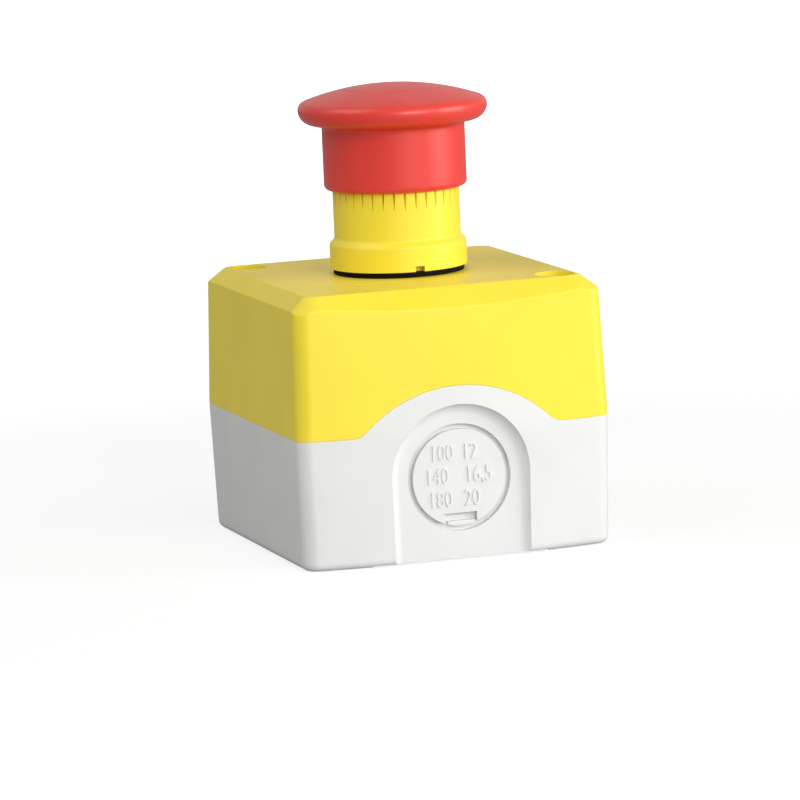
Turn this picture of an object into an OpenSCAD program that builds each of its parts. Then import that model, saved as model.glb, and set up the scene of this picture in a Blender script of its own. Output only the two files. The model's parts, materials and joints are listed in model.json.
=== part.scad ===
// Emergency stop push button: a turn-to-release mushroom head on a small moulded control box
// The origin is the middle of the box's underside, +Z runs up the button's axis, and the cable
// entries face -Y and +Y. All sizes are in millimetres.

/* [Box] */
// Width of the box across its flat side walls, where lid and base meet
box_w = 68.4; // [57:0.1:84]
// Height of the box from its underside to the lid's top plate
box_h = 56.7; // [47.2:0.1:70]
// Height of the straight part of the joint between base and lid
split_z = 27.2; // [25:0.1:29]
// How much narrower the lid is at its top than at the joint
lid_taper = 1.7; // [0:0.1:3]
// How much narrower the base is at its underside than at the joint
base_taper = 1.3; // [0:0.1:2]
// How far the front and back walls bow outwards at the joint
wall_bow = 2.7; // [1:0.1:4]
// How far the front and back walls bow outwards at the lid's top
wall_bow_top = 2; // [0.5:0.1:3]
// Radius of the box's upright corners
corner_r = 3.5; // [3:0.1:5]
// Radius of the rounding round the underside
foot_round = 1.6; // [0.3:0.1:2]
// Thickness of the walls at the joint
wall_t = 2.8; // [2.4:0.1:3.2]
// Thickness of the base's floor
floor_t = 2.5; // [2:0.1:3.5]
// Thickness of the lid's top plate
plate_t = 3; // [2.5:0.1:4]
// Width of the chamfer round the top plate, seen from above
lid_chamfer_w = 3; // [2:0.1:4]
// Drop of that chamfer
lid_chamfer_h = 2.3; // [1:0.05:4]
// Height of the tongue that the base stands up inside the lid
tongue_h = 1.5; // [1:0.1:2.5]
// Thickness of that tongue
tongue_t = 1.3; // [1:0.1:1.5]
// Height of the rubber seal on the tongue
seal_h = 1; // [0.6:0.1:1.6]

/* [Cable entries] */
// Radius of the base's arch, front and back
arch_r = 28.5; // [26:0.1:29]
// Height of the arch's centre
arch_z = 8.15; // [6:0.05:9]
// Radius of the fillet between the arch and the straight joint
arch_fillet = 4.2; // [1:0.1:5]
// Half width of the flat recess in the arch, and the radius of its round top
recess_r = 15.2; // [13:0.1:18]
// Height of the centre of the recess's round top
recess_z = 17.6; // [16:0.1:19]
// Depth of the recess below the bowed wall
recess_depth = 2.6; // [1:0.1:3]
// Radius of the cove between the recess's floor and its wall
recess_cove = 2.3; // [0.5:0.1:2.5]
// Height of the knock-out's centre
knockout_z = 17.2; // [14:0.1:18]
// Radius of the knock-out's disc
knockout_r = 10.1; // [8:0.1:11]
// Width of the groove round the disc
knockout_groove = 1.1; // [0.5:0.1:1.3]
// Thickness of the web that holds the disc
knockout_web = 0.6; // [0.4:0.1:0.9]
// Width of the pocket for a screwdriver's blade, at the foot of the disc
tab_w = 7.1; // [5:0.1:9]
// Height of that pocket's top edge above the disc's lowest point
tab_h = 2.7; // [2:0.1:4]
// Half width of the shallow relief under the box at each cable entry
relief_w = 19.3; // [17:0.1:22]
// Depth of that relief
relief_h = 0.35; // [0.2:0.05:0.6]

/* [Fixings] */
// Distance of the lid screws from the box's sides, at the joint
lid_screw_inset = 8.55; // [8.5:0.05:10]
// Radius of the recess over a lid screw
lid_screw_recess_r = 4; // [3.7:0.1:4.4]
// Depth of that recess
lid_screw_recess_h = 6; // [3:0.1:8]
// Radius of a lid screw's shank
lid_screw_r = 2; // [1.5:0.1:2.2]
// Radius of a lid screw's head
lid_screw_head_r = 3.5; // [3:0.1:3.6]
// Height of a lid screw's head
lid_screw_head_h = 2.4; // [1.5:0.1:3]
// Depth of a lid screw in the base's boss
lid_screw_grip = 13; // [8:0.5:18]
// Radius of the bosses round the lid screws
boss_r = 5; // [4.6:0.1:5.5]
// Distance of a fixing hole from the box's left or right side
fix_inset_x = 15.2; // [12:0.1:18]
// Distance of a fixing hole from the box's front or back
fix_inset_y = 7.2; // [6.8:0.1:9]
// Radius of the fixing holes
fix_hole_r = 2.15; // [1.6:0.05:2.6]
// Radius of the pads round the fixing holes
fix_pad_r = 4.5; // [4:0.1:5.5]
// Height of those pads above the floor
fix_pad_h = 2; // [1:0.1:3]
// Thickness of the skin that closes a fixing hole until its screw is pushed through
fix_skin = 0.5; // [0.4:0.1:0.8]

/* [Bezel] */
// Thickness of the gasket under the bezel
gasket_t = 1.2; // [0.8:0.1:2]
// How far that gasket stands back from the bezel's edge
gasket_inset = 0.65; // [0.3:0.05:1]
// How far the bezel stands out from the sleeve
bezel_step = 1.1; // [0.8:0.1:2]
// Height of the bezel up to its chamfer
bezel_h = 5.2; // [4:0.1:6]
// Outer radius of the sleeve that the skirt slides over
sleeve_r = 13.4; // [13:0.05:16.1]
// Thickness of the sleeve
sleeve_wall = 2; // [1.6:0.1:2.2]
// Height of the sleeve's top above the bezel's foot
sleeve_h = 23.6; // [22:0.1:24.5]
// Radius of the tube that passes through the lid
tube_r = 11; // [10.5:0.1:12]
// Thickness of that tube
tube_wall = 1.8; // [1.5:0.1:2]
// Length of the tube below the lid's top
tube_drop = 16.7; // [16:0.1:20]
// Width of the anti-turn key on the tube
key_w = 3.2; // [2:0.1:4]
// Number of the fine slits round the sleeve's top
slit_count = 36; // [12:1:36]
// Width of a slit at the surface
slit_w = 0.5; // [0.3:0.05:0.8]
// Depth of a slit
slit_depth = 0.5; // [0.2:0.05:0.8]
// Height of the slits' lower ends above the bezel's foot
slit_z = 12.7; // [10:0.1:14]
// Length over which a slit narrows to its pointed lower end
slit_point = 2.5; // [1:0.1:5]
// Width of the notch that marks the bezel's front
mark_w = 2; // [1:0.1:3]
// Height of that notch
mark_h = 1.2; // [0.6:0.1:2]
// Depth of that notch
mark_depth = 0.8; // [0.4:0.1:1.2]

/* [Head] */
// Radius of the mushroom head
head_r = 20; // [18:0.1:24]
// Thickness of the head's skirt
skirt_wall = 1.35; // [1.1:0.05:2]
// Height of the skirt's lower edge above the bezel's foot, at rest
skirt_gap = 16.6; // [15:0.1:18]
// Length of the skirt, from its lower edge to the underside of the head
skirt_len = 13.6; // [12:0.1:16]
// Height of the head's widest part above its underside
rim_rise = 3.4; // [3:0.1:5]
// Radius of the rim's lower rounding
rim_r_low = 3.1; // [2:0.1:3.3]
// Radius of the rim's upper rounding
rim_r_top = 1.9; // [1:0.1:3]
// Radius of the domed top
dome_r = 55.5; // [40:0.5:90]
// Travel of the head from rest to full press
stroke = 4.3; // [3.5:0.1:5.2]

/* [Latch] */
// Radius of the latch balls
ball_r = 1.6; // [1.3:0.02:1.76]
// How far the stem's ramp pushes the balls out before they drop into its groove
latch_ramp = 0.7; // [0.5:0.05:0.9]
// Height of the balls above the bezel's foot
ball_rise = 10.1; // [9.6:0.1:10.4]
// Radius of the stem in its guide
stem_guide_r = 4.5; // [4.3:0.05:4.6]
// Radius of the stem below its guide
stem_r = 3; // [2.6:0.1:3.2]
// Radius of the hub that holds the balls
hub_r = 6.4; // [6.1:0.05:6.6]
// Diameter of the main spring's wire
main_wire = 1.1; // [0.8:0.05:1.2]

/* [Contact blocks] */
// Width of one contact block
block_w = 10.8; // [10.4:0.1:11.8]
// Length of one contact block
block_len = 31; // [31:0.5:34]
// Height of one contact block
block_h = 26; // [26:0.5:28]
// Travel at which the normally closed contact opens
nc_travel = 1.5; // [1:0.1:2]
// Travel at which the normally open contact closes
no_travel = 2.6; // [2:0.1:2.8]

/* [Hidden] */

// Smoothness of curves, and a small length that lets a cut run past a face
$fn = 96;
eps = 0.01;
past = 20;

// Clearances
fit_gap = 0.05;
slide_gap = 0.1;
skirt_gap_r = 0.35;
contact_gap = 0.02;
hook_gap = 0.15;

// Box
half_w = box_w / 2;
foot_half = half_w - base_taper / 2;
lid_half = half_w - lid_taper / 2;
cavity_half = half_w - wall_t;
cavity_r = 2;
plate_half = lid_half - lid_chamfer_w;
plate_corner_r = 3;
plate_z = box_h - plate_t;
arch_top = arch_z + arch_r;
fillet_x = sqrt(pow(arch_r + arch_fillet, 2) - pow(split_z + arch_fillet - arch_z, 2));
arch_joint_x = fillet_x * arch_r / (arch_r + arch_fillet);
arch_joint_z = arch_z + (split_z + arch_fillet - arch_z) * arch_r / (arch_r + arch_fillet);
recess_y = half_w + wall_bow - recess_depth;
// Share of the wall behind the recess that the knock-out's outer groove goes through
knockout_share = 0.45;
knockout_depth = knockout_share * (recess_y - cavity_half);
lid_screw_at = half_w - lid_screw_inset;
lid_screw_seat = box_h - lid_screw_recess_h;
fix_x = half_w - fix_inset_x;
fix_y = half_w - fix_inset_y;
rib_t = 1.6;
lid_hole_r = tube_r + 0.15;
key_reach = tube_r + 1;
// Raised block in the knock-out's blade pocket: its distances from the pocket's edges and from the recess
tab_block_left = 0.8;
tab_block_right = 0.4;
tab_block_top = 1.4;
tab_block_sunk = 0.15;

// Bezel and what stands on it
bezel_z = box_h + gasket_t;
bezel_r = sleeve_r + bezel_step;
gasket_r = bezel_r - gasket_inset;
sleeve_bore_r = sleeve_r - sleeve_wall;
tube_bore_r = tube_r - tube_wall;
sleeve_foot = bezel_z + bezel_h + bezel_step;
sleeve_top = bezel_z + sleeve_h;
web_low = bezel_z + 1.6;
web_top = web_low + 3;
hub_bore_r = stem_guide_r + slide_gap;
hub_top = bezel_z + 19.6;
tube_foot = box_h - tube_drop;
tube_slot_w = 3.2;
lug_w = 5;
lug_reach = tube_r + 1.3;
lug_low = tube_foot + 6;
lug_h = 2;

// Head
skirt_low = bezel_z + skirt_gap;
skirt_r = sleeve_r + skirt_gap_r + skirt_wall;
under_z = skirt_low + skirt_len;
rim_z = under_z + rim_rise;
skirt_bore_r = sleeve_r + skirt_gap_r;
skirt_round = 1.1;
ceiling_z = under_z + 3.9;
dome_low = rim_z - sqrt(pow(dome_r - rim_r_top, 2) - pow(head_r - rim_r_top, 2));
dome_turn = atan2(rim_z - dome_low, head_r - rim_r_top);
socket_r = 6.6;
socket_low = ceiling_z - 7.8;
spindle_r = 4;
spindle_flat = 3.4;
spindle_top = ceiling_z - 1.6;
snap_z = ceiling_z - 5;
snap_half = 0.45;
snap_gap = 4;

// Latch
ball_z = bezel_z + ball_rise;
// The groove is level with the balls at full press, and the ramp's crest is just below it
groove_h = 2 * ball_r + 0.6;
groove_low = ball_z + stroke - groove_h / 2;
groove_r = 3.3;
groove_edge = 0.4;
crest_z = groove_low - 0.2;
ramp_r = stem_guide_r - latch_ramp;
ramp_floor = 0.15;
ball_rate = latch_ramp / (crest_z - ball_z);
ball_gap = 0.03;
ball_at = ramp_r + ball_r * sqrt(1 + pow(ball_rate, 2)) + ball_gap;
ball_hole_r = ball_r + fit_gap;
lobe_r = 1.5;
ring_low = ball_z - 0.8;
ring_top = ball_z + 3;
ring_bore_r = hub_r + slide_gap;
ring_lip = 0.8;
ring_cone = ball_z + ball_at + ball_r * sqrt(2) + fit_gap;
ring_r = ring_cone - ring_low + ring_lip;
clip_z = hub_top - 2;
clip_t = 0.8;
clip_groove_r = hub_r - 0.45;
latch_spring_r = (ring_bore_r + ring_r) / 2;
latch_wire = 0.6;
latch_turns = 3;
clip_r = latch_spring_r + latch_wire;
clip_gap = 4;
main_spring_r = (ring_r + sleeve_bore_r) / 2;
main_turns = 7;

// Pusher and the stem's lower end
foot_low = tube_foot + stroke - 0.8;
foot_top = foot_low + 4;
tube_slot_top = foot_top + 2.5;
foot_r = tube_bore_r - 0.15;
foot_bore_r = stem_r + fit_gap;
foot_key_r = tube_r - 0.5;
foot_pocket_r = 4.7;
foot_pocket_h = 1.8;
stem_end = foot_low + 0.2;
stem_clip_t = 0.6;
stem_clip_z = foot_low + foot_pocket_h - stem_clip_t - 0.1;
stem_clip_gap = 2.6;
stem_groove_r = stem_r - 0.5;
stem_clip_r = foot_pocket_r - 0.3;
stem_guide_low = web_low + stroke + 0.2;
twist_spring_r = 5;
twist_wire = 0.8;
twist_turns = 5;
stem_collar_low = foot_top + 6.8;
stem_collar_h = 1.2;
stem_collar_r = 6;
seal_low = stem_collar_low + stem_collar_h + 0.5;
seal_lip_r = stem_r + fit_gap;
seal_lip_h = 1.6;
seal_lip_t = 1.2;

// Collar
block_top = tube_foot - 1.4;
collar_low = block_top + 0.1;
collar_top = plate_z - 1.3;
collar_half_x = lug_reach + 1.7;
collar_half_y = lug_reach + 4.7;
collar_round = 3;
collar_screw_r = 1.75;
collar_screw_head_r = 3.1;
collar_screw_head_h = 2.4;
collar_screw_y = block_len / 2 + collar_screw_head_r + 0.2;
collar_ear_y = collar_screw_y + 3.2;
collar_ear_x = 5;

// Contact blocks, measured from a block's own middle and the box's underside
block_at = block_w / 2 + 0.2;
block_low = block_top - block_h;
block_wall = 1.2;
block_floor = block_low + 1.2;
hook_y = block_len / 2 - 1.1;
hook_t = 1.2;
hook_half = 2;
hook_z = block_top + 2.2;
hook_top = block_top + 3.8;
hook_catch = 0.5;
room_x = block_w / 2 - block_wall;
room_y = 8.8;
room_low = block_low + 8;
room_top = block_top - 3;
guide_y = 2.6;
neck_x = 2.8;
neck_y = 2;
plunger_x = room_x - slide_gap;
plunger_y = guide_y - slide_gap;
plunger_low = block_low + 8.4;
plunger_shoulder = room_top - 0.2;
plunger_top = foot_low - fit_gap;
strip_t = 0.8;
strip_half_x = 2.5;
tip_r = 1.1;
tip_h = 0.6;
tip_y = 6.2;
strip_in = 4.4;
strip_leg = room_y - 0.2;
terminal_z = block_low + 8.4;
terminal_out = block_len / 2 - 0.7;
terminal_screw_y = block_len / 2 - 3.3;
terminal_screw_r = 1.75;
terminal_head_r = 2.7;
terminal_head_h = 2.2;
terminal_head_z = block_low + 0.8;
clamp_half = 2.6;
clamp_t = 1;
pocket_in = room_y + 0.6;
pocket_top = terminal_z + 3;
bridge_t = 0.8;
bridge_half_x = 2;
bridge_half_y = 7.6;
window_x = bridge_half_x + 0.4;
// Normally closed: the bridge is held up against the fixed tips
nc_strip_z = block_low + 18.4;
nc_bridge_z = nc_strip_z - 2 * tip_h - contact_gap - bridge_t;
nc_window_low = nc_bridge_z - 4.4;
nc_window_top = nc_bridge_z + bridge_t + nc_travel + contact_gap;
// Normally open: the bridge hangs over the fixed tips
no_strip_z = block_low + 12.6;
no_bridge_z = no_strip_z + strip_t + 2 * tip_h + no_travel + contact_gap;
no_window_low = no_bridge_z - contact_gap;
no_window_top = no_bridge_z + bridge_t + stroke - no_travel + 2.1;
// Springs in the blocks
contact_spring_r = 1.5;
contact_wire = 0.4;
contact_turns = 4;
return_spring_r = 1.7;
return_wire = 0.5;
return_turns = 5;
block_spring_steps = 10;

// Points along a corner of the box's plan, and along half of a bowed wall
corner_steps = 6;
bow_steps = 8;

// Outline helpers

// Radius of the bow of a wall, tangent to its corners
function bow_radius(half, bow, r) = (pow(half - r, 2) + pow(bow, 2) + 2 * bow * r) / (2 * bow);

// Half the angle that the bow spans
function bow_turn(half, bow, r) = asin((half - r) / (bow_radius(half, bow, r) - r));

// Quarter of the plan: right wall's corner and the right half of the bowed back wall
function plan_corner(half, bow, r, steps) = [
    for (i = [0:steps])
        let (a = i * (90 - bow_turn(half, bow, r)) / steps)
            [half - r + r * cos(a), half - r + r * sin(a)]
];

function plan_bow(half, bow, r, steps) = [
    for (i = [1:2 * steps - 1])
        let (
            big = bow_radius(half, bow, r),
            a = bow_turn(half, bow, r) * (1 - i / steps)
        )
            [big * sin(a), half + bow - big + big * cos(a)]
];

// Plan of the box at one height, anticlockwise from the right wall
function box_plan(half, bow, r) =
    let (
        corner = plan_corner(half, bow, r, corner_steps),
        bowed = plan_bow(half, bow, r, bow_steps),
        back = concat(corner, bowed, [for (i = [corner_steps:-1:0]) [-corner[i][0], corner[i][1]]])
    )
        concat(back, [for (p = back) -p]);

// Solid through a stack of plans that hold the same number of points
module loft(plans, heights) {
    count = len(plans[0]);
    levels = len(plans);
    points = [for (k = [0:levels - 1]) for (p = plans[k]) [p[0], p[1], heights[k]]];
    sides = [
        for (k = [0:levels - 2]) for (i = [0:count - 1])
            let (n = (i + 1) % count)
                [k * count + i, (k + 1) * count + i, (k + 1) * count + n, k * count + n]
    ];
    bottom = [for (i = [0:count - 1]) i];
    top = [for (i = [count - 1:-1:0]) (levels - 1) * count + i];
    polyhedron(points, concat([bottom], sides, [top]));
}

// Helical spring of round wire between two heights
module coil(mean_r, wire, low, high, turns, steps = 14, sides = 6) {
    count = ceil(turns * steps);
    points = [
        for (i = [0:count]) for (k = [0:sides - 1])
            let (
                a = 360 * turns * i / count,
                z = low + wire / 2 + (high - low - wire) * i / count,
                r = mean_r + wire / 2 * cos(360 * k / sides)
            )
                [r * cos(a), r * sin(a), z + wire / 2 * sin(360 * k / sides)]
    ];
    skin = [
        for (i = [0:count - 1]) for (k = [0:sides - 1])
            let (n = (k + 1) % sides)
                [i * sides + k, (i + 1) * sides + k, (i + 1) * sides + n, i * sides + n]
    ];
    first = [for (k = [0:sides - 1]) k];
    last = [for (k = [sides - 1:-1:0]) count * sides + k];
    polyhedron(points, concat([first], skin, [last]));
}

// Block with round upright corners
module rounded_block(half_x, half_y, low, high, r) {
    translate([0, 0, low])
        linear_extrude(high - low)
            rounded_plan(half_x, half_y, r);
}

module rounded_plan(half_x, half_y, r) {
    square([2 * half_x, 2 * (half_y - r)], center = true);
    square([2 * (half_x - r), 2 * half_y], center = true);
    for (sx = [-1, 1]) for (sy = [-1, 1])
        translate([sx * (half_x - r), sy * (half_y - r)])
            circle(r);
}

// Plain block between two corners
module block(from, to) {
    translate(from)
        cube(to - from);
}

// Upright cylinder between two heights
module post(r, low, high) {
    translate([0, 0, low])
        cylinder(r = r, h = high - low);
}

// Flat ring with a gap, as a retaining clip has
module open_clip(r_in, r_out, low, high, gap) {
    translate([0, 0, low])
        linear_extrude(high - low)
            difference() {
                circle(r_out);
                circle(r_in);
                translate([0, -gap / 2])
                    square([r_out + 1, gap]);
            }
}

// Repeats a child at the two lid screws
module at_lid_screws() {
    for (s = [-1, 1])
        translate([s * lid_screw_at, -s * lid_screw_at, 0])
            children();
}

// Repeats a child at the two fixing holes
module at_fixings() {
    for (s = [-1, 1])
        translate([s * fix_x, s * fix_y, 0])
            children();
}

// Repeats a child on the front wall and the back wall
module front_and_back() {
    for (turn = [0, 180])
        rotate([0, 0, turn])
            children();
}

// Turns a profile drawn in X and Z into a solid along Y
module along_y(from, to) {
    translate([0, to, 0])
        rotate([90, 0, 0])
            linear_extrude(to - from)
                children();
}

// Box

// Outer form of the whole box, with bowed and tapered walls
module box_form() {
    loft(
        [
            box_plan(foot_half - foot_round, wall_bow, corner_r - foot_round),
            box_plan(foot_half - 0.3 * foot_round, wall_bow, corner_r - 0.3 * foot_round),
            box_plan(foot_half, wall_bow, corner_r),
            box_plan(half_w, wall_bow, corner_r),
            box_plan(lid_half, wall_bow_top, corner_r)
        ],
        [0, 0.3 * foot_round, foot_round, split_z, box_h]
    );
}

// Room under the chamfered edges of the top plate
module chamfer_form() {
    reach = 4 * lid_chamfer_w;
    flat_bow = 0.001;
    loft(
        [
            box_plan(plate_half + reach, flat_bow, plate_corner_r + reach),
            box_plan(plate_half + reach, flat_bow, plate_corner_r + reach),
            box_plan(plate_half, flat_bow, plate_corner_r)
        ],
        [-1, box_h - reach * lid_chamfer_h / lid_chamfer_w, box_h]
    );
}

// Everything below the joint line, seen from the front: a straight joint with an arch in it
module below_joint(lift) {
    translate([0, lift])
        difference() {
            union() {
                translate([-box_w, -box_w])
                    square([2 * box_w, box_w + split_z]);
                translate([0, arch_z])
                    circle(arch_r, $fn = 180);
                polygon([
                    [-fillet_x, split_z - 1],
                    [fillet_x, split_z - 1],
                    [fillet_x, split_z],
                    [arch_joint_x, arch_joint_z],
                    [-arch_joint_x, arch_joint_z],
                    [-fillet_x, split_z]
                ]);
            }
            for (s = [-1, 1])
                translate([s * fillet_x, split_z + arch_fillet])
                    circle(arch_fillet);
        }
}

module joint_cut(lift) {
    along_y(-box_w, box_w)
        below_joint(lift);
}

module cavity(low, high) {
    rounded_block(cavity_half, cavity_half, low, high, cavity_r);
}

module tongue_form(low, high) {
    reach = tongue_t;
    rounded_block(cavity_half + reach, cavity_half + reach, low, high, cavity_r + reach);
}

// Flat-floored recess of one cable entry, on the front: an arch with a cove round its floor
module entry_recess() {
    translate([0, -recess_y, recess_z])
        rotate([90, 0, 0])
            rotate_extrude()
                recess_section();
    translate([0, -recess_y, -past])
        linear_extrude(past + recess_z)
            mirror([0, 1])
                for (side = [0, 1])
                    mirror([side, 0])
                        recess_section();
}

// Half section of what the recess takes away, from its middle line and its floor outwards
module recess_section() {
    cove_x = recess_r - recess_cove;
    square([cove_x + eps, past]);
    translate([0, recess_cove])
        square([recess_r, past - recess_cove]);
    intersection() {
        translate([cove_x, recess_cove])
            circle(recess_cove);
        translate([cove_x, 0])
            square([recess_cove, 2 * recess_cove]);
    }
}

// Grooves that make one knock-out: outside, inside and the pocket for a blade
module knockout_cuts() {
    ring_out = knockout_r + knockout_groove;
    outer_floor = -recess_y + knockout_depth;
    tab_top = knockout_z - knockout_r + tab_h;
    along_y(-recess_y - past, outer_floor)
        translate([0, knockout_z])
            difference() {
                circle(ring_out);
                circle(knockout_r);
            }
    along_y(outer_floor + knockout_web, -cavity_half + past)
        translate([0, knockout_z])
            difference() {
                circle(ring_out);
                circle(knockout_r);
            }
    difference() {
        block([-tab_w / 2, -recess_y - past, knockout_z - knockout_r], [tab_w / 2, outer_floor, tab_top]);
        block(
            [-tab_w / 2 + tab_block_left, -recess_y + tab_block_sunk, knockout_z - knockout_r - 1],
            [tab_w / 2 - tab_block_right, outer_floor + 1, tab_top - tab_block_top]
        );
    }
}

module base() {
    color("whitesmoke")
        difference() {
            union() {
                difference() {
                    intersection() {
                        box_form();
                        joint_cut(0);
                    }
                    cavity(floor_t, box_h);
                }
                // Tongue that locates the lid and carries the seal
                intersection() {
                    difference() {
                        tongue_form(split_z - 1, arch_top + tongue_h + 1);
                        cavity(split_z - 2, arch_top + tongue_h + 2);
                    }
                    joint_cut(tongue_h);
                }
                at_lid_screws()
                    post(boss_r, floor_t - eps, split_z);
                boss_ribs(floor_t - eps, split_z);
                at_fixings()
                    post(fix_pad_r, floor_t - eps, floor_t + fix_pad_h);
            }
            at_lid_screws()
                post(lid_screw_r, split_z - lid_screw_grip, split_z + 1);
            at_fixings()
                post(fix_hole_r, -1, floor_t + fix_pad_h - fix_skin);
            front_and_back() {
                entry_recess();
                knockout_cuts();
                block([-relief_w, -half_w - past, -1], [relief_w, -cavity_half, relief_h]);
            }
        }
}

// Ribs that tie the lid screws' bosses to the walls of their corner
module boss_ribs(low, high) {
    for (s = [-1, 1]) {
        reach = cavity_half + 0.4;
        block(
            [min(s * lid_screw_at, s * reach), -s * lid_screw_at - rib_t / 2, low],
            [max(s * lid_screw_at, s * reach), -s * lid_screw_at + rib_t / 2, high]
        );
        block(
            [s * lid_screw_at - rib_t / 2, min(-s * lid_screw_at, -s * reach), low],
            [s * lid_screw_at + rib_t / 2, max(-s * lid_screw_at, -s * reach), high]
        );
    }
}

module lid() {
    color("gold")
        difference() {
            union() {
                difference() {
                    intersection() {
                        box_form();
                        chamfer_form();
                    }
                    joint_cut(0);
                    cavity(0, plate_z);
                    // Rebate over the base's tongue and the seal
                    intersection() {
                        tongue_form(0, box_h - plate_t);
                        joint_cut(tongue_h + seal_h);
                    }
                }
                at_lid_screws()
                    post(boss_r, split_z, plate_z + eps);
                difference() {
                    boss_ribs(split_z, plate_z + eps);
                    joint_cut(tongue_h + seal_h);
                }
            }
            post(lid_hole_r, 0, box_h + 1);
            block([-key_w / 2 - 0.1, 0, 0], [key_w / 2 + 0.1, key_reach + 0.1, box_h + 1]);
            at_lid_screws() {
                post(lid_screw_recess_r, lid_screw_seat, box_h + 1);
                post(lid_screw_r + 0.2, split_z - 1, lid_screw_seat + 1);
            }
        }
}

module lid_seal() {
    color("dimgray")
        difference() {
            intersection() {
                tongue_form(split_z, arch_top + tongue_h + seal_h + 1);
                joint_cut(tongue_h + seal_h);
            }
            cavity(split_z - 1, box_h);
            joint_cut(tongue_h);
        }
}

module lid_screws() {
    color("silver")
        at_lid_screws()
            difference() {
                union() {
                    post(lid_screw_r, split_z - lid_screw_grip + 0.5, lid_screw_seat + eps);
                    post(lid_screw_head_r, lid_screw_seat, lid_screw_seat + lid_screw_head_h);
                }
                cross_slot(lid_screw_seat + lid_screw_head_h, lid_screw_head_r);
            }
}

// Cross recess in a screw head of a given radius, whose face looks up
module cross_slot(face_z, head_r) {
    reach = 0.6 * head_r;
    half_t = 0.14 * head_r;
    depth = 1.3;
    block([-reach, -half_t, face_z - depth], [reach, half_t, face_z + 1]);
    block([-half_t, -reach, face_z - depth], [half_t, reach, face_z + 1]);
}

// Bezel, seals and collar

module bezel_body() {
    color("gold")
        difference() {
            union() {
                rotate_extrude()
                    polygon([
                        [tube_bore_r, tube_foot],
                        [tube_r, tube_foot],
                        [tube_r, bezel_z],
                        [bezel_r, bezel_z],
                        [bezel_r, bezel_z + bezel_h],
                        [sleeve_r, sleeve_foot],
                        [sleeve_r, sleeve_top],
                        [sleeve_bore_r, sleeve_top],
                        [sleeve_bore_r, web_top],
                        [hub_r, web_top],
                        [hub_r, hub_top],
                        [hub_bore_r, hub_top],
                        [hub_bore_r, web_low],
                        [tube_bore_r, web_low]
                    ]);
                // Key that stops the tube from turning in the lid
                block([-key_w / 2, tube_r - 1, plate_z], [key_w / 2, key_reach, bezel_z + 1]);
                // Lugs that the collar locks under
                intersection() {
                    block([-lug_reach, -lug_w / 2, lug_low], [lug_reach, lug_w / 2, lug_low + lug_h]);
                    difference() {
                        post(lug_reach, lug_low, lug_low + lug_h);
                        post(tube_r - 0.5, lug_low - 1, lug_low + lug_h + 1);
                    }
                }
            }
            // Holes that hold the latch balls
            for (k = [0:2])
                rotate([0, 0, ball_angle(k)])
                    translate([0, 0, ball_z])
                        rotate([0, 90, 0])
                            cylinder(r = ball_hole_r, h = hub_r + 1);
            // Slots for the pusher's keys
            block(
                [-tube_slot_w / 2, -tube_r - 1, tube_foot - 1],
                [tube_slot_w / 2, tube_r + 1, tube_slot_top]
            );
            // Groove for the clip over the latch ring
            difference() {
                post(hub_r + 1, clip_z, clip_z + clip_t);
                post(clip_groove_r, clip_z - 1, clip_z + clip_t + 1);
            }
            sleeve_slits();
            // Mark that shows which way round the head goes
            block(
                [-mark_w / 2, -bezel_r - 1, bezel_z - 1],
                [mark_w / 2, -bezel_r + mark_depth, bezel_z + mark_h]
            );
        }
}

// Direction in which a latch ball moves out
function ball_angle(k) = -90 + 120 * k;

// Fine slits with pointed lower ends, round the upper part of the sleeve
module sleeve_slits() {
    low = bezel_z + slit_z;
    proud = 0.2;
    mouth = slit_w / 2 * (slit_depth + proud) / slit_depth;
    for (k = [0:slit_count - 1])
        rotate([0, 0, k * 360 / slit_count])
            translate([sleeve_r, 0, 0])
                intersection() {
                    translate([0, 0, low])
                        linear_extrude(sleeve_top - low + 1)
                            polygon([[-slit_depth, 0], [proud, -mouth], [proud, mouth]]);
                    slit_wedge(low);
                }
}

// Wedge that brings a slit to a point at its lower end
module slit_wedge(low) {
    rotate([90, 0, 90])
        translate([0, 0, -slit_depth - 1])
            linear_extrude(slit_depth + 2)
                polygon([
                    [0, low],
                    [slit_w, low + slit_point],
                    [slit_w, sleeve_top + 1],
                    [-slit_w, sleeve_top + 1],
                    [-slit_w, low + slit_point]
                ]);
}

module head_gasket() {
    color("black")
        difference() {
            post(gasket_r, box_h, bezel_z);
            post(tube_r, box_h - 1, bezel_z + 1);
            block([-key_w / 2, 0, box_h - 1], [key_w / 2, key_reach, bezel_z + 1]);
        }
}

// Seal with a thin lip that rubs on the stem and a thick rim in the tube
module stem_seal() {
    lip_low = web_low - seal_lip_h;
    color("black")
        rotate_extrude()
            polygon([
                [tube_bore_r, seal_low],
                [tube_bore_r, web_low],
                [seal_lip_r + 2 * seal_lip_t, web_low],
                [seal_lip_r, lip_low + seal_lip_h / 2],
                [seal_lip_r, lip_low],
                [seal_lip_r + seal_lip_t, lip_low + 0.2],
                [(seal_lip_r + tube_bore_r) / 2, web_low - seal_lip_t],
                [tube_bore_r - seal_lip_t, seal_low]
            ]);
}

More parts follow.
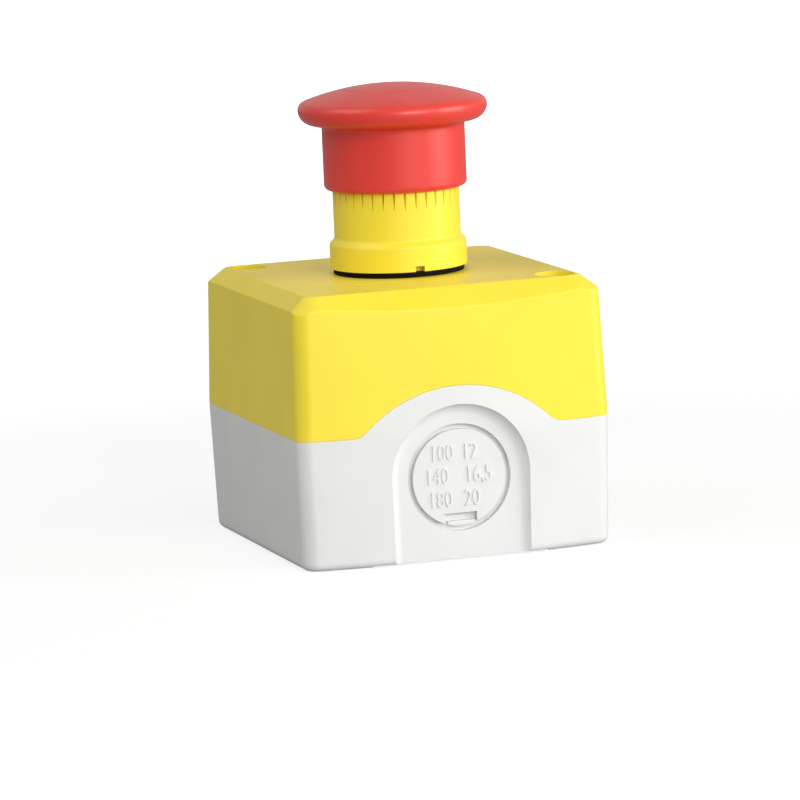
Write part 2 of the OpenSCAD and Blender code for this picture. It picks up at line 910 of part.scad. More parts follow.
module fixing_collar() {
    color("dimgray")
        difference() {
            union() {
                rounded_block(collar_half_x, collar_half_y, collar_low, collar_top, collar_round);
                rounded_block(collar_ear_x, collar_ear_y, collar_low, collar_top, collar_round);
            }
            post(tube_r + fit_gap, collar_low - 1, collar_top + 1);
            // Ring groove for the tube's lugs, and the two ways into it
            post(lug_reach + 0.2, lug_low - 0.1, lug_low + lug_h + 0.1);
            block(
                [-lug_w / 2 - 0.4, -lug_reach - 0.2, lug_low],
                [lug_w / 2 + 0.4, lug_reach + 0.2, collar_top + 1]
            );
            for (s = [-1, 1]) {
                translate([0, s * collar_screw_y, 0])
                    post(collar_screw_r, collar_low - 1, collar_top + 1);
                // Windows that the contact blocks' hooks snap into
                for (side = [-1, 1])
                    translate([side * block_at, 0, 0])
                        hook_form(s, hook_gap);
            }
        }
}

module collar_screws() {
    color("silver")
        for (s = [-1, 1])
            translate([0, s * collar_screw_y, 0])
                difference() {
                    union() {
                        post(collar_screw_r, collar_low - eps, plate_z);
                        post(collar_screw_head_r, collar_low - collar_screw_head_h, collar_low);
                    }
                    mirror([0, 0, 1])
                        cross_slot(collar_screw_head_h - collar_low, collar_screw_head_r);
                }
}

// Latch

module latch_ring() {
    color("white")
        rotate_extrude()
            polygon([
                [ring_cone - ring_low, ring_low],
                [ring_r, ring_low],
                [ring_r, ring_top],
                [ring_bore_r, ring_top],
                [ring_bore_r, ring_cone - ring_bore_r]
            ]);
}

module latch_ring_spring() {
    color("silver")
        coil(latch_spring_r, latch_wire, ring_top, clip_z, latch_turns);
}

module latch_ring_clip() {
    color("gray")
        open_clip(clip_groove_r, clip_r, clip_z, clip_z + clip_t, clip_gap);
}

module latch_ball(k) {
    color("lightgray")
        rotate([0, 0, ball_angle(k)])
            translate([ball_at, 0, ball_z])
                sphere(ball_r);
}

module latch_ball_1() {
    latch_ball(0);
}

module latch_ball_2() {
    latch_ball(1);
}

module latch_ball_3() {
    latch_ball(2);
}

// Pusher and its spring

module pusher_foot() {
    color("black")
        difference() {
            union() {
                post(foot_r, foot_low, foot_top);
                // Keys that slide in the tube's slots
                intersection() {
                    block(
                        [-tube_slot_w / 2 + slide_gap, -foot_key_r, foot_low],
                        [tube_slot_w / 2 - slide_gap, foot_key_r, foot_top]
                    );
                    post(foot_key_r, foot_low - 1, foot_top + 1);
                }
            }
            post(foot_bore_r, foot_low - 1, foot_top + 1);
            post(foot_pocket_r, foot_low - 1, foot_low + foot_pocket_h);
        }
}

module twist_spring() {
    color("silver")
        coil(twist_spring_r, twist_wire, foot_top, stem_collar_low - 0.2, twist_turns);
}

module stem_clip() {
    color("gray")
        open_clip(stem_groove_r, stem_clip_r, stem_clip_z, stem_clip_z + stem_clip_t, stem_clip_gap);
}

// Head

module mushroom_cap() {
    color("red")
        difference() {
            rotate_extrude()
                cap_profile();
            // Socket that fits the two flats on the stem
            intersection() {
                post(spindle_r, socket_low - 1, spindle_top + 0.1);
                block(
                    [-spindle_r - 1, -spindle_flat, socket_low - 2],
                    [spindle_r + 1, spindle_flat, spindle_top + 1]
                );
            }
            snap_groove();
        }
}

// Points along an arc
function arc_points(x, y, r, from, to, steps) = [
    for (i = [0:steps])
        let (a = from + (to - from) * i / steps)
            [x + r * cos(a), y + r * sin(a)]
];

// Half section of the head: skirt, rim, dome and the socket in the middle
module cap_profile() {
    rim_x = head_r - rim_r_low;
    top_x = head_r - rim_r_top;
    seam = 0.2;
    difference() {
        union() {
            polygon(concat(
                [[0, under_z], [rim_x, rim_z - rim_r_low]],
                arc_points(rim_x, rim_z, rim_r_low, -90, 0, 12),
                arc_points(top_x, rim_z, rim_r_top, 0, dome_turn, 6),
                arc_points(0, dome_low, dome_r, dome_turn, 90, 16)
            ));
            // Skirt with a rounded lower edge
            translate([0, skirt_low + skirt_round])
                square([skirt_r, under_z - skirt_low]);
            translate([0, skirt_low])
                square([skirt_r - skirt_round, 2 * skirt_round]);
            translate([skirt_r - skirt_round, skirt_low + skirt_round])
                circle(skirt_round, $fn = 48);
            // Underside of the head
            polygon([
                [0, under_z - seam],
                [skirt_r, under_z - seam],
                [rim_x, rim_z - rim_r_low],
                [0, rim_z]
            ]);
        }
        // Room for the sleeve and the spring
        translate([0, skirt_low - 1])
            square([skirt_bore_r, ceiling_z - skirt_low + 1]);
    }
    translate([0, socket_low])
        square([socket_r, ceiling_z - socket_low + seam]);
}

// Groove for the snap ring, half in the stem and half in the cap's socket
module snap_groove() {
    difference() {
        post(spindle_r + snap_half + fit_gap, snap_z - snap_half, snap_z + snap_half);
        post(spindle_r - snap_half, snap_z - 1, snap_z + 1);
    }
}

module stem() {
    color("ivory")
        difference() {
            union() {
                rotate_extrude()
                    polygon([
                        [0, stem_end],
                        [stem_r, stem_end],
                        [stem_r, stem_collar_low],
                        [stem_collar_r, stem_collar_low],
                        [stem_collar_r, stem_collar_low + stem_collar_h],
                        [stem_r, stem_collar_low + stem_collar_h],
                        [stem_r, stem_guide_low],
                        [stem_guide_r, stem_guide_low],
                        [stem_guide_r, ball_z - ball_r - 0.2],
                        [ramp_r - ramp_floor, ball_z - ball_r / 2],
                        [ramp_r - ramp_floor, ball_z - ramp_floor / ball_rate],
                        [stem_guide_r, crest_z],
                        [stem_guide_r, groove_low],
                        [groove_r, groove_low + groove_edge],
                        [groove_r, groove_low + groove_h - groove_edge],
                        [stem_guide_r, groove_low + groove_h],
                        [stem_guide_r, socket_low - 1.6],
                        [spindle_r, socket_low - 1.1],
                        [spindle_r, spindle_top],
                        [0, spindle_top]
                    ]);
                // Cam lobes that spread the balls when the head is turned
                for (k = [0:2])
                    rotate([0, 0, ball_angle(k) + 60])
                        translate([stem_guide_r - lobe_r - 0.05, 0, groove_low])
                            cylinder(r = lobe_r, h = groove_h);
            }
            // Flats that carry the head round
            for (s = [-1, 1])
                block(
                    [-past, min(s * spindle_flat, s * past), socket_low - 0.6],
                    [past, max(s * spindle_flat, s * past), spindle_top + 1]
                );
            snap_groove();
            difference() {
                post(stem_r + 1, stem_clip_z, stem_clip_z + stem_clip_t);
                post(stem_groove_r, stem_clip_z - 1, stem_clip_z + stem_clip_t + 1);
            }
        }
}

module cap_snap_ring() {
    color("gray")
        open_clip(spindle_r - snap_half, spindle_r + snap_half, snap_z - snap_half, snap_z + snap_half, snap_gap);
}

module main_spring() {
    color("silver")
        coil(main_spring_r, main_wire, web_top, ceiling_z, main_turns, 16);
}

// Contact blocks

// Places a block's piece: the normally closed block stands at -X, the normally open one at +X
module at_block(side) {
    translate([side * block_at, 0, 0])
        mirror([side < 0 ? 1 : 0, 0, 0])
            children();
}

// Room inside a block, seen from its side: the contact room and the plunger's guide
module room_plan(shrink) {
    polygon([
        [-guide_y + shrink, block_floor + shrink],
        [guide_y - shrink, block_floor + shrink],
        [guide_y - shrink, room_low + shrink],
        [room_y - shrink, room_low + shrink],
        [room_y - shrink, room_top - shrink],
        [-room_y + shrink, room_top - shrink],
        [-room_y + shrink, room_low + shrink],
        [-guide_y + shrink, room_low + shrink]
    ]);
}

// Turns a profile drawn in Y and Z into a solid along X
module along_x(from, to) {
    translate([from, 0, 0])
        rotate([90, 0, 90])
            linear_extrude(to - from)
                children();
}

// Hook that snaps into the collar, at the end s of a block, or with a gap the window for it
module hook_form(s, gap) {
    along_x(-hook_half - gap, hook_half + gap)
        polygon([
            [s * (hook_y - hook_t - gap), block_top - 1],
            [s * (hook_y + gap), block_top - 1],
            [s * (hook_y + gap), hook_z - gap],
            [s * (hook_y + hook_catch + gap), hook_z - gap + 0.3],
            [s * (hook_y + gap), hook_top + gap],
            [s * (hook_y - hook_t - gap), hook_top + gap]
        ]);
}

module block_housing(colour) {
    half_len = block_len / 2;
    color(colour)
        difference() {
            union() {
                block([-block_w / 2, -half_len, block_low], [block_w / 2, half_len, block_top]);
                for (s = [-1, 1])
                    hook_form(s, 0);
            }
            along_x(-room_x, block_w)
                room_plan(0);
            // Neck of the plunger's guide
            block(
                [-neck_x - slide_gap, -neck_y - slide_gap, room_top - 1],
                [neck_x + slide_gap, neck_y + slide_gap, block_top + 1]
            );
            for (s = [-1, 1]) {
                // Terminal pocket, open at the end for a wire and below for a screwdriver
                block(
                    [-room_x, min(s * pocket_in, s * past), block_low - 1],
                    [room_x, max(s * pocket_in, s * past), pocket_top]
                );
                // Slot that the terminal's strip passes through
                block(
                    [-strip_half_x - fit_gap, min(s * room_y, s * pocket_in) - 0.1, terminal_z],
                    [strip_half_x + fit_gap, max(s * room_y, s * pocket_in) + 0.1, terminal_z + strip_t]
                );
            }
        }
}

module block_cover(colour) {
    color(colour)
        along_x(room_x, block_w / 2)
            room_plan(fit_gap);
}

// Plunger with a window for the bridge and a narrow neck that the pusher presses
module block_plunger(colour, window_low, window_top) {
    color(colour)
        difference() {
            union() {
                block([-plunger_x, -plunger_y, plunger_low], [plunger_x, plunger_y, plunger_shoulder]);
                block([-neck_x, -neck_y, plunger_shoulder - 1], [neck_x, neck_y, plunger_top]);
            }
            block([-window_x, -past, window_low], [window_x, past, window_top]);
        }
}

// Moving contact bar; the tips stand on its upper side or, turned over, on its lower side
module block_bridge(bar_z, tips_up) {
    tip_low = tips_up ? bar_z + bridge_t - eps : bar_z - tip_h;
    color("peru") {
        block([-bridge_half_x, -bridge_half_y, bar_z], [bridge_half_x, bridge_half_y, bar_z + bridge_t]);
        for (s = [-1, 1])
            translate([0, s * tip_y, 0])
                post(tip_r, tip_low, tip_low + tip_h + eps);
    }
}

// Two bent strips, each from a fixed contact tip to a screw terminal
module block_terminals(strip_z, tips_up) {
    tip_low = tips_up ? strip_z + strip_t - eps : strip_z - tip_h;
    color("peru")
        for (turn = [0, 180])
            rotate([0, 0, turn])
                difference() {
                    union() {
                        block(
                            [-strip_half_x, strip_in, strip_z],
                            [strip_half_x, strip_leg, strip_z + strip_t]
                        );
                        block(
                            [-strip_half_x, strip_leg - strip_t, terminal_z],
                            [strip_half_x, strip_leg, strip_z + strip_t]
                        );
                        block(
                            [-strip_half_x, strip_leg - strip_t, terminal_z],
                            [strip_half_x, terminal_out, terminal_z + strip_t]
                        );
                        translate([0, tip_y, 0])
                            post(tip_r, tip_low, tip_low + tip_h + eps);
                    }
                    translate([0, terminal_screw_y, 0])
                        post(terminal_screw_r, terminal_z - 1, terminal_z + strip_t + 1);
                }
}

module block_terminal_screws() {
    color("silver")
        for (s = [-1, 1])
            translate([0, s * terminal_screw_y, 0])
                difference() {
                    union() {
                        post(terminal_screw_r, terminal_head_z, terminal_z + strip_t + 1.2);
                        post(terminal_head_r, terminal_head_z, terminal_head_z + terminal_head_h);
                    }
                    mirror([0, 0, 1])
                        cross_slot(-terminal_head_z, terminal_head_r);
                }
}

module block_clamps() {
    low = terminal_head_z + terminal_head_h;
    color("lightgray")
        for (s = [-1, 1])
            translate([0, s * terminal_screw_y, 0])
                difference() {
                    block([-clamp_half, -clamp_half, low], [clamp_half, clamp_half, low + clamp_t]);
                    post(terminal_screw_r + 0.1, low - 1, low + clamp_t + 1);
                }
}

module block_return_spring() {
    color("silver")
        coil(return_spring_r, return_wire, block_floor, plunger_low, return_turns, block_spring_steps);
}

module nc_housing() {
    at_block(-1) block_housing("darkslategray");
}

module nc_cover() {
    at_block(-1) block_cover("firebrick");
}

module nc_plunger() {
    at_block(-1) block_plunger("firebrick", nc_window_low, nc_window_top);
}

module nc_bridge() {
    at_block(-1) block_bridge(nc_bridge_z, true);
}

module nc_contact_spring() {
    color("silver")
        at_block(-1)
            coil(contact_spring_r, contact_wire, nc_window_low, nc_bridge_z, contact_turns, block_spring_steps);
}

module nc_return_spring() {
    at_block(-1) block_return_spring();
}

module nc_terminals() {
    at_block(-1) block_terminals(nc_strip_z, false);
}

module nc_terminal_screws() {
    at_block(-1) block_terminal_screws();
}

module nc_clamps() {
    at_block(-1) block_clamps();
}

module no_housing() {
    at_block(1) block_housing("darkslategray");
}

module no_cover() {
    at_block(1) block_cover("seagreen");
}

module no_plunger() {
    at_block(1) block_plunger("seagreen", no_window_low, no_window_top);
}

module no_bridge() {
    at_block(1) block_bridge(no_bridge_z, false);
}

module no_contact_spring() {
    color("silver")
        at_block(1)
            coil(
                contact_spring_r, contact_wire, no_bridge_z + bridge_t, no_window_top,
                contact_turns, block_spring_steps
            );
}

module no_return_spring() {
    at_block(1) block_return_spring();
}

module no_terminals() {
    at_block(1) block_terminals(no_strip_z, true);
}

module no_terminal_screws() {
    at_block(1) block_terminal_screws();
}

module no_clamps() {
    at_block(1) block_clamps();
}

base();
lid();
lid_seal();
lid_screws();
bezel_body();
head_gasket();
stem_seal();
fixing_collar();
collar_screws();
latch_ring();
latch_ring_spring();
latch_ring_clip();
latch_ball_1();
latch_ball_2();
latch_ball_3();
pusher_foot();
twist_spring();
stem_clip();
mushroom_cap();
stem();
cap_snap_ring();
main_spring();
nc_housing();
nc_cover();
nc_plunger();
nc_bridge();
nc_contact_spring();
nc_return_spring();
nc_terminals();
nc_terminal_screws();
nc_clamps();
no_housing();
no_cover();
no_plunger();
no_bridge();
no_contact_spring();
no_return_spring();
no_terminals();
no_terminal_screws();
no_clamps();
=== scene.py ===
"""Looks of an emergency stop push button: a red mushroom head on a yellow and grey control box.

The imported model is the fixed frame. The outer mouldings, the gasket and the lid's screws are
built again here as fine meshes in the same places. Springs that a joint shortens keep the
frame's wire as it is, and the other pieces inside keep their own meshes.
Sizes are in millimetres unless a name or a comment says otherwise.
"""
import json
import logging
import math
from dataclasses import dataclass, field
from enum import Enum
from typing import Callable, Sequence

import bmesh
import bpy
import numpy as np
from mathutils import Matrix, Vector


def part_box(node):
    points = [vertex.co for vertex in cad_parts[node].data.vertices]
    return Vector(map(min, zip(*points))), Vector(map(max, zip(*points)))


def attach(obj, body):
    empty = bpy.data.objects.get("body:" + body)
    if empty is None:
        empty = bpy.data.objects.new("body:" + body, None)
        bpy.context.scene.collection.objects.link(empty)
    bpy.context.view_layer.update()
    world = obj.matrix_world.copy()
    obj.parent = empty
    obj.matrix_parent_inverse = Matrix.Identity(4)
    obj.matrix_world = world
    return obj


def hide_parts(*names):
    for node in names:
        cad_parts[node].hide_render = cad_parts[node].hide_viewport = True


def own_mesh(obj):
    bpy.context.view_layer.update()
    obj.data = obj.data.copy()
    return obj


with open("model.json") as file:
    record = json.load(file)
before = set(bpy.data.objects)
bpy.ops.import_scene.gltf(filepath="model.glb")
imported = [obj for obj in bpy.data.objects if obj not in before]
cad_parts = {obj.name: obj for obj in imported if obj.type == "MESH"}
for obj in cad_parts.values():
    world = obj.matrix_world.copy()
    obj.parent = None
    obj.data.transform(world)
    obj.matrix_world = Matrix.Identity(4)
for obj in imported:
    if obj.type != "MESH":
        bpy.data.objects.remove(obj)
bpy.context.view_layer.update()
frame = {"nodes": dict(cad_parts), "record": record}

log = logging.getLogger("button")
METRES = 0.001
OUTER = "enclosure"
HEAD = "head"
# How far a tool reaches past the face that it cuts.
OVER = 1.0
# Radius of the small flat that closes a turned piece or tool on its axis.
CORE = 0.3
# Distance in metres below which two points of a mesh are one.
SAME = 1e-7
# Columns of a plain round tool.
POST_STEPS = 48

Colour = tuple[float, float, float]
Ring = list[int]


class Slot(Enum):
    """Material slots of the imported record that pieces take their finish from."""

    GREY = "grey_plastic"
    YELLOW = "yellow_plastic"
    RED = "red_plastic"
    RUBBER = "black_rubber"
    BLACK = "black_plastic"
    WHITE = "white_plastic"
    DARK_GREY = "dark_grey_plastic"
    BREAK_RED = "nc_red_plastic"
    MAKE_GREEN = "no_green_plastic"
    ZINC = "zinc_steel"
    SPRING = "spring_steel"
    BRASS = "contact_brass"


class Carve(Enum):
    """How a tool changes a solid."""

    CUT = "DIFFERENCE"
    ADD = "UNION"


# Mesh building


def node_box(node: str) -> tuple[np.ndarray, np.ndarray]:
    """Gives where a node of the frame is.

    Args:
        node: Name of the node.

    Returns:
        Its lowest and highest corner in millimetres.
    """
    low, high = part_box(node)
    return np.array(low) / METRES, np.array(high) / METRES


def placed(name: str, data: bpy.types.ID) -> bpy.types.Object:
    """Makes an object and puts it in the scene.

    Args:
        name: Name of the object.
        data: Its mesh, curve, lamp or camera.

    Returns:
        The object.
    """
    made = bpy.data.objects.new(name, data)
    bpy.context.collection.objects.link(made)
    return made


class Solid:
    """A closed mesh in the making, from rings of points in millimetres."""

    def __init__(self) -> None:
        """Starts with no points."""
        self.points: list[np.ndarray] = []
        self.faces: list[tuple[int, ...]] = []
        self.count = 0

    def ring(self, points: np.ndarray) -> Ring:
        """Adds a ring of points.

        Args:
            points: Array of points, one row each.

        Returns:
            The numbers of the new points.
        """
        start = self.count
        self.points.append(np.asarray(points, dtype=float))
        self.count += len(points)
        return list(range(start, self.count))

    def skin(self, rings: Sequence[Ring]) -> None:
        """Joins closed rings in their order with four-sided faces.

        Args:
            rings: Rings that hold the same number of points.
        """
        for low, high in zip(rings, rings[1:]):
            for i, j in zip(range(len(low)), [*range(1, len(low)), 0]):
                self.faces.append((low[i], low[j], high[j], high[i]))

    def cap(self, ring: Ring) -> None:
        """Closes a flat ring with one face."""
        self.faces.append(tuple(ring))

    def span(self, ring: Ring) -> None:
        """Closes a ring whose front half mirrors its back half, with strips that run along Y.

        Args:
            ring: Ring whose second half holds the first half's points turned by half a turn.
        """
        half = len(ring) // 2
        back, front = ring[:half], ring[half:][::-1]
        for j in range(half - 1):
            self.faces.append((back[j], back[j + 1], front[j + 1], front[j]))

    def build(self, name: str) -> bpy.types.Object:
        """Makes the mesh object.

        Args:
            name: Name of the object.

        Returns:
            The object, with faces that look outwards.
        """
        mesh = bpy.data.meshes.new(name)
        mesh.from_pydata((np.vstack(self.points) * METRES).tolist(), [], self.faces)
        work = bmesh.new()
        work.from_mesh(mesh)
        bmesh.ops.remove_doubles(work, verts=work.verts, dist=SAME)
        bmesh.ops.recalc_face_normals(work, faces=work.faces)
        work.to_mesh(mesh)
        work.free()
        return placed(name, mesh)


def at_height(outline: np.ndarray, z: float | np.ndarray) -> np.ndarray:
    """Lifts a plan to a height, or each of its points to its own."""
    return np.column_stack([outline, np.broadcast_to(z, len(outline))])


def bend(start: np.ndarray, corner: np.ndarray, end: np.ndarray, t: float) -> np.ndarray:
    """Gives the points at a share t of the way along curves that round a corner."""
    return (1 - t) ** 2 * start + 2 * t * (1 - t) * corner + t * t * end


def prism(outline: np.ndarray, low: float, high: float) -> bpy.types.Object:
    """Makes an upright prism.

    Args:
        outline: Plan of the prism.
        low: Height of its underside.
        high: Height of its top.

    Returns:
        The prism.
    """
    made = Solid()
    rings = [made.ring(at_height(outline, z)) for z in (low, high)]
    made.skin(rings)
    made.cap(rings[0])
    made.cap(rings[1])
    return made.build("prism")


def block(low: Sequence[float], high: Sequence[float]) -> bpy.types.Object:
    """Makes a plain block between two corners, as a tool."""
    (x0, y0, z0), (x1, y1, z1) = low, high
    return prism(np.array([(x0, y0), (x1, y0), (x1, y1), (x0, y1)]), z0, z1)


def circle(radius: float, steps: int, x: float = 0.0, y: float = 0.0) -> np.ndarray:
    """Gives the points of a circle in plan."""
    turn = np.arange(steps) * 2 * math.pi / steps
    return np.column_stack([x + radius * np.cos(turn), y + radius * np.sin(turn)])


def arc(centre: tuple[float, float], radius: float, start: float, end: float, steps: int) -> list:
    """Gives points along an arc.

    Args:
        centre: Centre of the arc.
        radius: Radius of the arc.
        start: Angle of the first point, in degrees.
        end: Angle of the last point, in degrees.
        steps: Number of chords.

    Returns:
        The points, both ends included.
    """
    turn = np.radians(np.linspace(start, end, steps + 1))
    return [(centre[0] + radius * math.cos(a), centre[1] + radius * math.sin(a)) for a in turn]


def softened(corners: Sequence[tuple[float, ...]], steps: int = 3) -> list[tuple[float, float]]:
    """Rounds the corners of a section.

    Args:
        corners: Points (radius, height, rounding); the rounding is how far from the corner the
            curve starts, and without it a corner stays sharp.
        steps: Chords in each rounded corner.

    Returns:
        The rounded section, in the same order.
    """
    out: list[tuple[float, float]] = []
    count = len(corners)
    for i, corner in enumerate(corners):
        here = np.array(corner[:2])
        reach = corner[2] if len(corner) > 2 else 0.0
        if not reach:
            out.append(tuple(here))
            continue
        before = np.array(corners[i - 1][:2]) - here
        after = np.array(corners[(i + 1) % count][:2]) - here
        start = here + before / np.linalg.norm(before) * reach
        end = here + after / np.linalg.norm(after) * reach
        for t in np.linspace(0, 1, steps + 1):
            out.append(tuple(bend(start, here, end, t)))
    return out


def lathe(
    section: Sequence[tuple[float, float]],
    steps: int,
    closed: bool = True,
    relief: Callable[[float, float, np.ndarray], tuple[np.ndarray, np.ndarray]] | None = None,
) -> Solid:
    """Turns a section round the upright axis.

    Args:
        section: Points (radius, height) in order.
        steps: Number of columns round the axis.
        closed: Whether the section is a closed loop; if not, its ends are closed by flat faces.
        relief: Gives the angles and radii of one ring from its radius, height and plain angles.

    Returns:
        The solid, not yet built.
    """
    made = Solid()
    turn = np.arange(steps) * 2 * math.pi / steps
    rings = []
    for radius, z in section:
        angle, reach = relief(radius, z, turn) if relief else (turn, np.full(steps, radius))
        plan = np.column_stack([reach * np.cos(angle), reach * np.sin(angle)])
        rings.append(made.ring(at_height(plan, z)))
    if closed:
        made.skin([*rings, rings[0]])
    else:
        made.skin(rings)
        made.cap(rings[0])
        made.cap(rings[-1])
    return made


def post(radius: float, low: float, high: float, x: float = 0.0, y: float = 0.0) -> bpy.types.Object:
    """Makes an upright cylinder, as a tool."""
    return prism(circle(radius, POST_STEPS, x, y), low, high)


def turned(thing: bpy.types.Object, turn: Matrix) -> bpy.types.Object:
    """Moves an object's points and returns the object."""
    thing.data.transform(turn)
    return thing


def twin(thing: bpy.types.Object) -> bpy.types.Object:
    """Makes a copy turned by half a turn about the upright axis.

    Args:
        thing: Tool for the front.

    Returns:
        The same tool for the back.
    """
    other = placed(thing.name, thing.data.copy())
    return turned(other, Matrix.Rotation(math.pi, 4, "Z"))


def carve(target: bpy.types.Object, tools: Sequence[bpy.types.Object], how: Carve) -> None:
    """Cuts tools from a solid or adds them to it, and removes the tools.

    Args:
        target: Solid to change.
        tools: Solids that are used up.
        how: Whether they are cut out or added.
    """
    for tool in tools:
        change = target.modifiers.new(how.name, "BOOLEAN")
        change.operation = how.value
        change.solver = "EXACT"
        change.object = tool
    shown = target.evaluated_get(bpy.context.evaluated_depsgraph_get())
    mesh = bpy.data.meshes.new_from_object(shown)
    target.modifiers.clear()
    target.data = mesh
    for tool in tools:
        bpy.data.objects.remove(tool)


def show(
    piece: bpy.types.Object,
    name: str,
    body: str,
    nodes: Sequence[str],
    material: bpy.types.Material,
    crease: float = 28.0,
) -> None:
    """Finishes a piece: names and dresses it and lets it stand for its nodes.

    Args:
        piece: The piece.
        name: Its name.
        body: Body that it rides on.
        nodes: Nodes of the frame that it stands for.
        material: Material of the piece.
        crease: Angle in degrees above which an edge stays sharp.
    """
    piece.name = piece.data.name = name
    piece.data.materials.clear()
    piece.data.materials.append(material)
    piece.data.shade_smooth()
    piece.data.set_sharp_from_angle(angle=math.radians(crease))
    weigh = piece.modifiers.new("even shading", "WEIGHTED_NORMAL")
    weigh.keep_sharp = True
    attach(piece, body)
    if nodes:
        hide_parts(*nodes)
    log.info("%s: %d faces", name, len(piece.data.polygons))


# Shader groups and finishes


class Sheet:
    """A node tree that is written in one direction."""

    def __init__(self, tree: bpy.types.NodeTree) -> None:
        """Takes the tree that nodes are added to."""
        self.tree = tree

    def add(self, kind: str, inputs: dict | None = None, **settings: object) -> bpy.types.Node:
        """Adds a node.

        Args:
            kind: Type of the node, without the words ShaderNode.
            inputs: Values or sockets for its inputs, by name or number.
            **settings: Properties of the node.

        Returns:
            The node.
        """
        made = self.tree.nodes.new("ShaderNode" + kind)
        for key, value in settings.items():
            setattr(made, key, value)
        for key, value in (inputs or {}).items():
            if isinstance(value, bpy.types.NodeSocket):
                self.tree.links.new(value, made.inputs[key])
            else:
                made.inputs[key].default_value = value
        return made

    def maths(
        self, operation: str, *values: float | bpy.types.NodeSocket, clamp: bool = False
    ) -> bpy.types.NodeSocket:
        """Adds a calculation and returns its result."""
        made = self.add("Math", dict(enumerate(values)), operation=operation, use_clamp=clamp)
        return made.outputs[0]

    def noise(self, vector: bpy.types.NodeSocket, size: float, detail: float = 2.0) -> bpy.types.NodeSocket:
        """Adds a noise whose features are of a given size.

        Args:
            vector: Place in metres.
            size: Size of a feature in millimetres.
            detail: Levels of finer detail.

        Returns:
            The noise, from 0 to 1.
        """
        made = self.add("TexNoise", {"Vector": vector, "Scale": 1 / (size * METRES), "Detail": detail})
        return made.outputs["Fac"]

    def ramp(self, value: bpy.types.NodeSocket, low: float, high: float) -> bpy.types.NodeSocket:
        """Spreads values between two limits over 0 to 1, smoothly."""
        limits = {"Value": value, "From Min": low, "From Max": high}
        return self.add("MapRange", limits, interpolation_type="SMOOTHSTEP").outputs["Result"]

    def blend(
        self,
        amount: bpy.types.NodeSocket,
        first: Colour | bpy.types.NodeSocket,
        second: Colour | bpy.types.NodeSocket,
    ) -> bpy.types.NodeSocket:
        """Blends two colours.

        Args:
            amount: Share of the second colour.
            first: Colour where the amount is 0.
            second: Colour where the amount is 1.

        Returns:
            The blended colour.
        """
        made = self.tree.nodes.new("ShaderNodeMix")
        made.data_type = "RGBA"
        colours = [s for s in made.inputs if s.type == "RGBA"]
        for socket, value in zip(colours, (first, second)):
            if isinstance(value, bpy.types.NodeSocket):
                self.tree.links.new(value, socket)
            else:
                socket.default_value = (*value, 1.0)
        self.tree.links.new(amount, made.inputs[0])
        return next(s for s in made.outputs if s.type == "RGBA")


def new_group(
    name: str, inputs: dict[str, float | None], outputs: Sequence[str]
) -> tuple[Sheet, dict, bpy.types.Node]:
    """Starts a shader group.

    Args:
        name: Name of the group.
        inputs: Default of each value input; None makes a vector input.
        outputs: Names of the value outputs.

    Returns:
        The sheet to write on, the inputs' sockets by name and the output node.
    """
    tree = bpy.data.node_groups.new(name, "ShaderNodeTree")
    for key, default in inputs.items():
        kind = "NodeSocketVector" if default is None else "NodeSocketFloat"
        socket = tree.interface.new_socket(key, in_out="INPUT", socket_type=kind)
        if default is not None:
            socket.default_value = default
    for key in outputs:
        tree.interface.new_socket(key, in_out="OUTPUT", socket_type="NodeSocketFloat")
    entry = tree.nodes.new("NodeGroupInput")
    leave = tree.nodes.new("NodeGroupOutput")
    return Sheet(tree), {s.name: s for s in entry.outputs}, leave


def link_out(sheet: Sheet, leave: bpy.types.Node, **results: bpy.types.NodeSocket) -> None:
    """Links a group's results to its outputs, whose names have spaces for underscores."""
    for key, socket in results.items():
        sheet.tree.links.new(socket, leave.inputs[key.replace("_", " ")])


